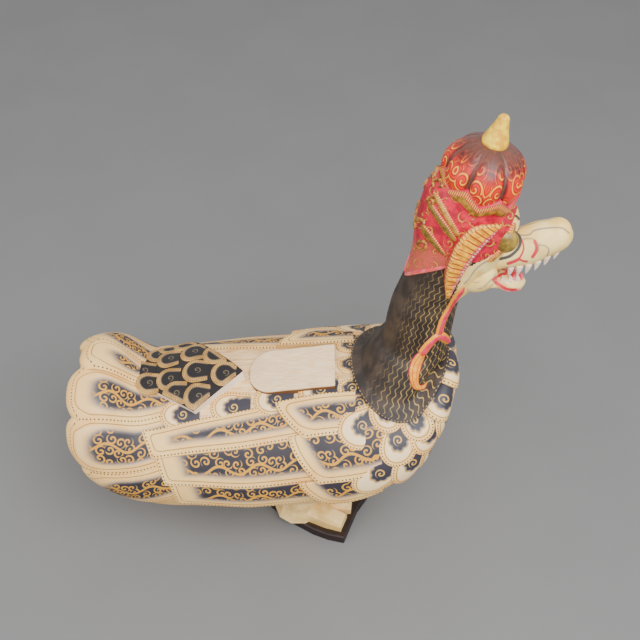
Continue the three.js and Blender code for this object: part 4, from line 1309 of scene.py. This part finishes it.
def scale_paint():
    """Round scale: dotted edge, thin line, pale crescent and a dark eye with gold curls."""
    paint = Paint("round_scale_paint", 0.5)
    edge, run, _ = paint.attribute("border")
    u, v, _ = paint.attribute("field")
    paint.mottle(40, chosen("cream"), "#f7bd6c", 0.3, 0.7)
    fine = paint.noise(3, 4)
    turn = v.angle_to(u)
    capsule = (u.most(0.0) * u.most(0.0) + v * v).root()
    lobes = (turn * 4.5).sin().abs() * 2.2
    paint.lay(edge.ramp(6.5, 9.5) * 0.7, "#ffe6ba")
    paint.lay((capsule - lobes).ramp(15, 10.5), "#8a7f78")
    scallop = drawn_line(capsule - lobes, 12.2, 0.8)
    paint.lay((capsule - lobes).ramp(11.6, 8.6), "#33303a")
    paint.lay(scallop * 0.9, "#d09a30")
    radius = (u * u + v * v).root()
    spiral = (radius / 4.8 - turn / (2 * math.pi)).fract()
    curl = (1.0 - (spiral - 0.5).abs() * 2.0) * radius.ramp(7.2, 6.2)
    paint.lay(curl.ramp(0.5, 0.6) * 0.5, "#b9a27c")
    paint.lay(curl.ramp(0.66, 0.76), "#dfaa3a")
    line = drawn_line(edge, *SCALE_LINE)
    paint.lay(line * 0.9, "#9a6f2a")
    dots = dotted(run, edge, *SCALE_DOTS)
    paint.lay(dots, "#6a4d1c")
    paint.lay(edge.ramp(0.8, 0.1) * 0.55, "#8d6a38")
    return paint.finish(fine * 0.3 - line - dots, 0.25)


def rump_paint():
    """Small near-black scales with dotted, lined edges and brushed hairs."""
    paint = Paint("dark_rump_scale_paint", 0.5)
    edge, run, _ = paint.attribute("border")
    u, v, _ = paint.attribute("field")
    blots = paint.mottle(20, "#d8a85c", "#a87a38", 0.3, 0.7)
    turn = v.angle_to(u)
    radius = (u * u + v * v).root()
    hairs = (turn * 40).sin() * 0.7
    paint.lay((edge + hairs).ramp(4.2, 6.4), "#7c6a52")
    paint.lay((edge + hairs).ramp(5.4, 7.4), "#1a1416")
    curl = (1.0 - ((radius / 4.4 - turn / (2 * math.pi)).fract() - 0.5).abs() * 2.0) * radius.ramp(6, 5)
    paint.lay(curl.ramp(0.66, 0.8) * 0.4, "#a3906a")
    paint.lay(drawn_line(edge, *RUMP_LINE) * 0.8, "#5c4626")
    dots = dotted(run, edge, *RUMP_DOTS)
    paint.lay(dots, "#3c2b14")
    return paint.finish(blots * 0.4 - dots, 0.3)


def raw_wood():
    """Raw sawn wood with lengthwise grain, greyed here and there, brown on its side walls."""
    paint = Paint("raw_sawn_wood", 0.75)
    _, wall, sawn = paint.attribute("border")
    grain = paint.noise(2.2, 5, (0.06, 1, 1), 0.4)
    streaks = paint.noise(12, 3, (0.1, 1, 1))
    blots = paint.noise(60, 3)
    paint.base = paint.blend(grain.ramp(0.35, 0.7), "#ffe2b6", "#f6c890")
    paint.lay(streaks.ramp(0.5, 0.75) * 0.45, "#d8bf9a")
    paint.lay(blots.ramp(0.5, 0.72) * 0.3, "#ccb392")
    paint.lay(wall, "#6e4420")
    paint.lay(sawn * 0.85, "#fff0dc")
    return paint.finish(grain, 0.5)


def cream_paint():
    """Aged cream paint of the belly; raw greyed wood with a worn brown ridge on the back."""
    paint = Paint("aged_cream_paint", 0.6)
    _, _, height = paint.attribute("field")
    paint.mottle(50, "#ffd28a", "#eab66c", 0.3, 0.7, detail=5)
    fine = paint.noise(2.5, 4)
    grain = paint.noise(3, 4, (0.06, 1, 1), 0.4)
    raw = paint.blend(grain.ramp(0.35, 0.7), "#ffd9a2", "#dba86a")
    paint.lay(height.ramp(190, 205), raw)
    paint.lay(fine.ramp(0.6, 0.8) * 0.4, "#a37f4c")
    return paint.finish(fine, 0.3)


def neck_paint():
    """Near-black neck with thin wavy gold lines that run down it and out over the collar, fading out
    towards the back as painted shade.
    """
    paint = Paint("dark_neck_paint", 0.6)
    turn, height, _ = paint.attribute("field")
    blots = paint.mottle(18, chosen("dark"), "#42352b", 0.35, 0.7)
    wave = (height * (2 * math.pi / 13) + turn * 14).sin() * 0.21
    warped = turn * 40 + wave + (blots - 0.5) * 0.5
    line = (warped.fract() - 0.5).abs()
    # The gold lines and their halo fade out towards the back of the neck: painted shade on its unlit back.
    # They also start a little above the collar's rim and vary at random.
    side = turn.ramp(0.44, 0.2) * height.ramp(3, 6) * (blots.ramp(0.3, 0.6) * 0.6 + 0.4)
    paint.lay(line.ramp(0.16, 0.08) * side * 0.4, "#6e5a3a")
    paint.lay(line.ramp(0.09, 0.03) * side, "#c09c50")
    fringe = dotted(turn * 330, height, 1.6, 3.4, 0.8)
    paint.lay(fringe * 0.6, "#c0a070")
    return paint.finish(blots, 0.3)


def plain_paint(name, first, second, roughness=0.5, size=20, depth=0.3):
    """One paint that is mottled between two colours."""
    paint = Paint(name, roughness)
    blots = paint.mottle(size, first, second)
    return paint.finish(blots, depth)


def crown_paint():
    """Rose-red crown with gold cloud curls outlined in dark red, and dark at the back."""
    paint = Paint("crown_red_paint", 0.45)
    px, py, _ = paint.attribute("drawn")
    blots = paint.mottle(9, chosen("red"), "#a00c28")
    curl = curls(paint, px, py, 13.0, 5.0, 0.8, 0.46)
    share = blots.ramp(0.4, 0.55)
    low = (py - px * 0.4).ramp(66, 84) * px.ramp(456, 448)
    paint.lay(low * 0.6, "#c86a50")
    paint.lay(curl.ramp(0.42, 0.55) * share * 0.8, "#6a1418")
    paint.lay(curl.ramp(0.62, 0.74) * share, "#d89030")
    return paint.finish(curl, 0.3)


def strap_paint(name, middle, light, border, bead):
    """A strap with beaded edges between borders."""
    paint = Paint(name, 0.45)
    run, across, _ = paint.attribute("field")
    paint.mottle(6, middle, light, detail=3)
    paint.lay(across.abs().ramp(0.5, 0.6), border)
    beads = dotted(run, (across.abs() - 0.74) * 4, 0, 2.6, 0.8)
    paint.lay(beads, bead)
    return paint.finish(beads, 0.4)


def ribbon_paint():
    """Red ribbon with gold edges."""
    paint = Paint("red_and_gold_ribbon_paint", 0.45)
    _, across, _ = paint.attribute("field")
    blots = paint.mottle(7, "#e00c30", "#e83a5c", detail=3)
    paint.lay(across.abs().ramp(0.4, 0.54), "#f09a10")
    paint.lay(across.abs().ramp(0.86, 0.93), "#a01830")
    return paint.finish(blots, 0.3)


def tassel_paint():
    """Gold tassel with rose edges and strands."""
    paint = Paint("gold_and_rose_tassel_paint", 0.45)
    _, across, _ = paint.attribute("field")
    paint.mottle(7, "#f09008", "#ffb428", detail=3)
    strands = ((across * 1.5).fract() - 0.5).abs()
    paint.lay(strands.ramp(0.1, 0.04), "#b83028")
    paint.lay(across.abs().ramp(0.72, 0.84), "#d01848")
    return paint.finish(strands, 0.4)


def ear_wing_paint():
    """Gold ribs with red lines between them, a beaded outer edge and a rose inner border."""
    paint = Paint("gold_ribbed_ear_wing_paint", 0.42)
    run, across, share = paint.attribute("field")
    paint.mottle(5, "#e08c00", "#ffbc18", detail=3)
    between = (share * 20 + across * 0.6).fract()
    groove = (between - 0.5).abs().ramp(0.34, 0.46)
    paint.lay(groove, "#a8300c")
    paint.lay(across.ramp(0.3, 0.2), "#d02a58")
    paint.lay(dotted(run, across * 16, 2.2, 3.2, 1.0), "#f0c0a0")
    beads = dotted(run, across * 16, 14.6, 3.0, 1.2)
    paint.lay(across.ramp(0.84, 0.9) * 0.8, "#a8322c")
    paint.lay(beads, "#f0b040")
    return paint.finish(groove * -1.0 + beads, 0.5)


def bun_paint():
    """Maroon lobes with orange and red flame curls, greyish seams and a paler, greyer top that is a painted
    highlight.
    """
    paint = Paint("maroon_bun_paint", 0.4)
    seam, height, lobe = paint.attribute("field")
    blots = paint.mottle(14, "#6a1c14", "#481412", 0.4, 0.6, distortion=1.5)
    low = (height + (blots - 0.5) * 0.5).ramp(0.5, 0.16) * seam.ramp(0.1, 0.3)
    curl = curls(paint, seam * 22 + lobe * 37, height * 46, 19.0, 6.6, 0.7, 0.55)
    paint.lay(low, "#e02208")
    paint.lay(curl.ramp(0.3, 0.42) * (low * 0.5 + 0.25), "#7a140c")
    paint.lay(curl.ramp(0.6, 0.72) * (low * 0.8 + 0.12), "#f47a10")
    paint.lay(curl.ramp(0.84, 0.93) * low, "#ffc030")
    paint.lay(seam.ramp(0.12, 0.03) * 0.7, "#6e4e46")
    # Paler, greyer top of the bun: a painted highlight where the light falls from above.
    paint.lay(height.ramp(0.36, 0.7) * 0.6, "#624338")
    return paint.finish(curl, 0.25)


def band_paint():
    """Red band with a row of gold beads, above the nape."""
    paint = Paint("beaded_red_band_paint", 0.45)
    run, across, _ = paint.attribute("field")
    paint.mottle(8, "#e03448", "#f06a78", detail=3)
    beads = dotted(run, (across - 0.3) * 10, 0, 2.4, 1.1)
    paint.lay(beads, "#f5c860")
    return paint.finish(beads, 0.4)


def face_paint():
    """Cream face paint with red, grey and dark brush strokes."""
    paint = Paint("cream_face_paint", 0.5)
    red, grey, dark = paint.attribute("ink")
    paint.mottle(18, "#ffe294", "#f8cc6a", 0.35, 0.7)
    fine = paint.noise(2.5, 3)
    paint.lay(fine.ramp(0.62, 0.8) * 0.25, "#b8a070")
    paint.lay(grey.ramp(0.5, -0.3) * 0.85, "#8a8076")
    paint.lay(red.ramp(0.5, -0.3), "#d8323e")
    paint.lay(dark.ramp(0.5, -0.3), "#46423e")
    return paint.finish(fine, 0.2)


# ---------------------------------------------------------------- add-on

# Edge and place of each soft light, in metres, and the strength of the light from all sides
KEY_LIGHT = (1.6, (0.5, -1.1, 1.9))
FILL_LIGHT = (2.0, (-1.6, -1.0, 1.2))
ROOM_LIGHT = 0.85


def dress(piece):
    """Hangs a finished piece on the figure's frame."""
    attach(piece, "root")
    return piece


def hue(name, description, code):
    """A colour setting from a hex colour."""
    return FloatVectorProperty(name=name, description=description, default=colour(code), size=4,
                               min=0, max=1, subtype="COLOR")


class GarudaSettings(bpy.types.PropertyGroup):
    """Main colours of the figure, and the stage's size and light."""

    floor_size: FloatProperty(name="Floor size", description="Edge of the square floor", default=6.0,
                              unit="LENGTH")
    cream: hue("Cream", "Cream of the feathers and scales", "#ffd488")
    gold: hue("Gold", "Gold of the vine scrolls on the feathers", "#e09a08")
    dark: hue("Dark", "Near-black of the neck", "#241b17")
    red: hue("Red", "Red of the crown", "#d80c34")
    key_power: FloatProperty(name="Key light", description="Power of the large soft light", default=64.0)
    fill_power: FloatProperty(name="Fill light", description="Power of the fill light", default=17.0)


class GARUDA_OT_body(bpy.types.Operator):
    """Carve the body with its wings, tail, rump and seat"""

    bl_idname = "garuda.body"
    bl_label = "Body"

    def execute(self, context):
        materials = [feather_paint(), scale_paint(), rump_paint(), raw_wood(), cream_paint()]
        piece = carve_body().build("feathered_body", materials)
        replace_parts(dress(piece), "body")
        return {"FINISHED"}


class GARUDA_OT_head(bpy.types.Operator):
    """Carve the neck, head, crown and ribbons"""

    bl_idname = "garuda.head"
    bl_label = "Neck and head"

    def execute(self, context):
        materials = [
            neck_paint(),
            crown_paint(),
            face_paint(),
            bun_paint(),
            plain_paint("gold_finial_paint", "#ffd82a", "#e0a010", 0.4, 8),
            strap_paint("beaded_gold_strap_paint", "#7c5a14", "#c08a28", "#c01838", "#f0b040"),
            ear_wing_paint(),
            ribbon_paint(),
            plain_paint("olive_gold_eye_paint", "#6e581c", "#a88a38", 0.35, 9),
            plain_paint("mouth_red_paint", "#d81c34", "#f07878", 0.4, 6),
            plain_paint("ivory_tooth_paint", "#fff0d8", "#f0ceb0", 0.4, 4),
            band_paint(),
            strap_paint("olive_leaf_strap_paint", "#5e4a08", "#86681a", "#c01838", "#e0a040"),
            tassel_paint(),
            plain_paint("gold_curl_paint", "#c88a28", "#6a3a1c", 0.4, 4),
        ]
        piece = carve_head().build("crowned_head_and_neck", materials, ink=True)
        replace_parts(dress(piece), "neck_and_head")
        return {"FINISHED"}


class GARUDA_OT_feet(bpy.types.Operator):
    """Paint the feet and the plinth"""

    bl_idname = "garuda.feet"
    bl_label = "Feet and plinth"

    def execute(self, context):
        for node, material in (
            ("feet", plain_paint("aged_cream_foot_paint", "#fbd994", "#deb468", 0.6, 25)),
            ("plinth", plain_paint("dark_plinth_paint", "#1c1212", "#2a1a18", 0.5, 20)),
        ):
            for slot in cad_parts[node].material_slots:
                slot.material = material
        return {"FINISHED"}


class GARUDA_OT_stage(bpy.types.Operator):
    """Set the floor, the lights and the camera"""

    bl_idname = "garuda.stage"
    bl_label = "Stage"

    def execute(self, context):
        settings = context.scene.garuda
        bpy.ops.mesh.primitive_plane_add(size=settings.floor_size, location=(0, 0, 0))
        floor = context.object
        floor.name = "studio_floor"
        floor.data.materials.append(plain_paint("studio_floor_paint", "#767676", "#787878", 0.9, 200, 0.0))
        bpy.ops.object.camera_add(location=CAMERA_SPOT, rotation=(CAMERA_DROP, 0, 0))
        camera = context.object
        camera.data.lens = camera.data.sensor_width * CAMERA_PIXELS / PICTURE
        context.scene.camera = camera
        for name, power, (size, spot) in (
            ("key_light", settings.key_power, KEY_LIGHT),
            ("fill_light", settings.fill_power, FILL_LIGHT),
        ):
            bpy.ops.object.light_add(type="AREA", location=spot)
            light = context.object
            light.name = name
            light.data.energy = power
            light.data.size = size
            light.rotation_euler = Vector(CAMERA_TARGET - spot).to_track_quat("-Z", "Y").to_euler()
        world = bpy.data.worlds.new("studio")
        context.scene.world = world
        world.use_nodes = True
        background = world.node_tree.nodes["Background"]
        background.inputs["Color"].default_value = (1, 1, 1, 1)
        background.inputs["Strength"].default_value = ROOM_LIGHT
        return {"FINISHED"}


class GARUDA_PT_panel(bpy.types.Panel):
    """Buttons for the pieces of the figure"""

    bl_idname = "GARUDA_PT_panel"
    bl_label = "Carved garuda"
    bl_space_type = "VIEW_3D"
    bl_region_type = "UI"
    bl_category = "Garuda"

    def draw(self, context):
        for operator in STEPS:
            self.layout.operator(operator.bl_idname)
        for name in GarudaSettings.__annotations__:
            self.layout.prop(context.scene.garuda, name)


STEPS = (GARUDA_OT_body, GARUDA_OT_head, GARUDA_OT_feet, GARUDA_OT_stage)
CLASSES = (GarudaSettings, *STEPS, GARUDA_PT_panel)


def register():
    for cls in CLASSES:
        bpy.utils.register_class(cls)
    bpy.types.Scene.garuda = PointerProperty(type=GarudaSettings)


def unregister():
    del bpy.types.Scene.garuda
    for cls in reversed(CLASSES):
        bpy.utils.unregister_class(cls)


def main():
    register()
    bpy.ops.garuda.body()
    bpy.ops.garuda.head()
    bpy.ops.garuda.feet()
    bpy.ops.garuda.stage()


if __name__ == "__main__":
    main()
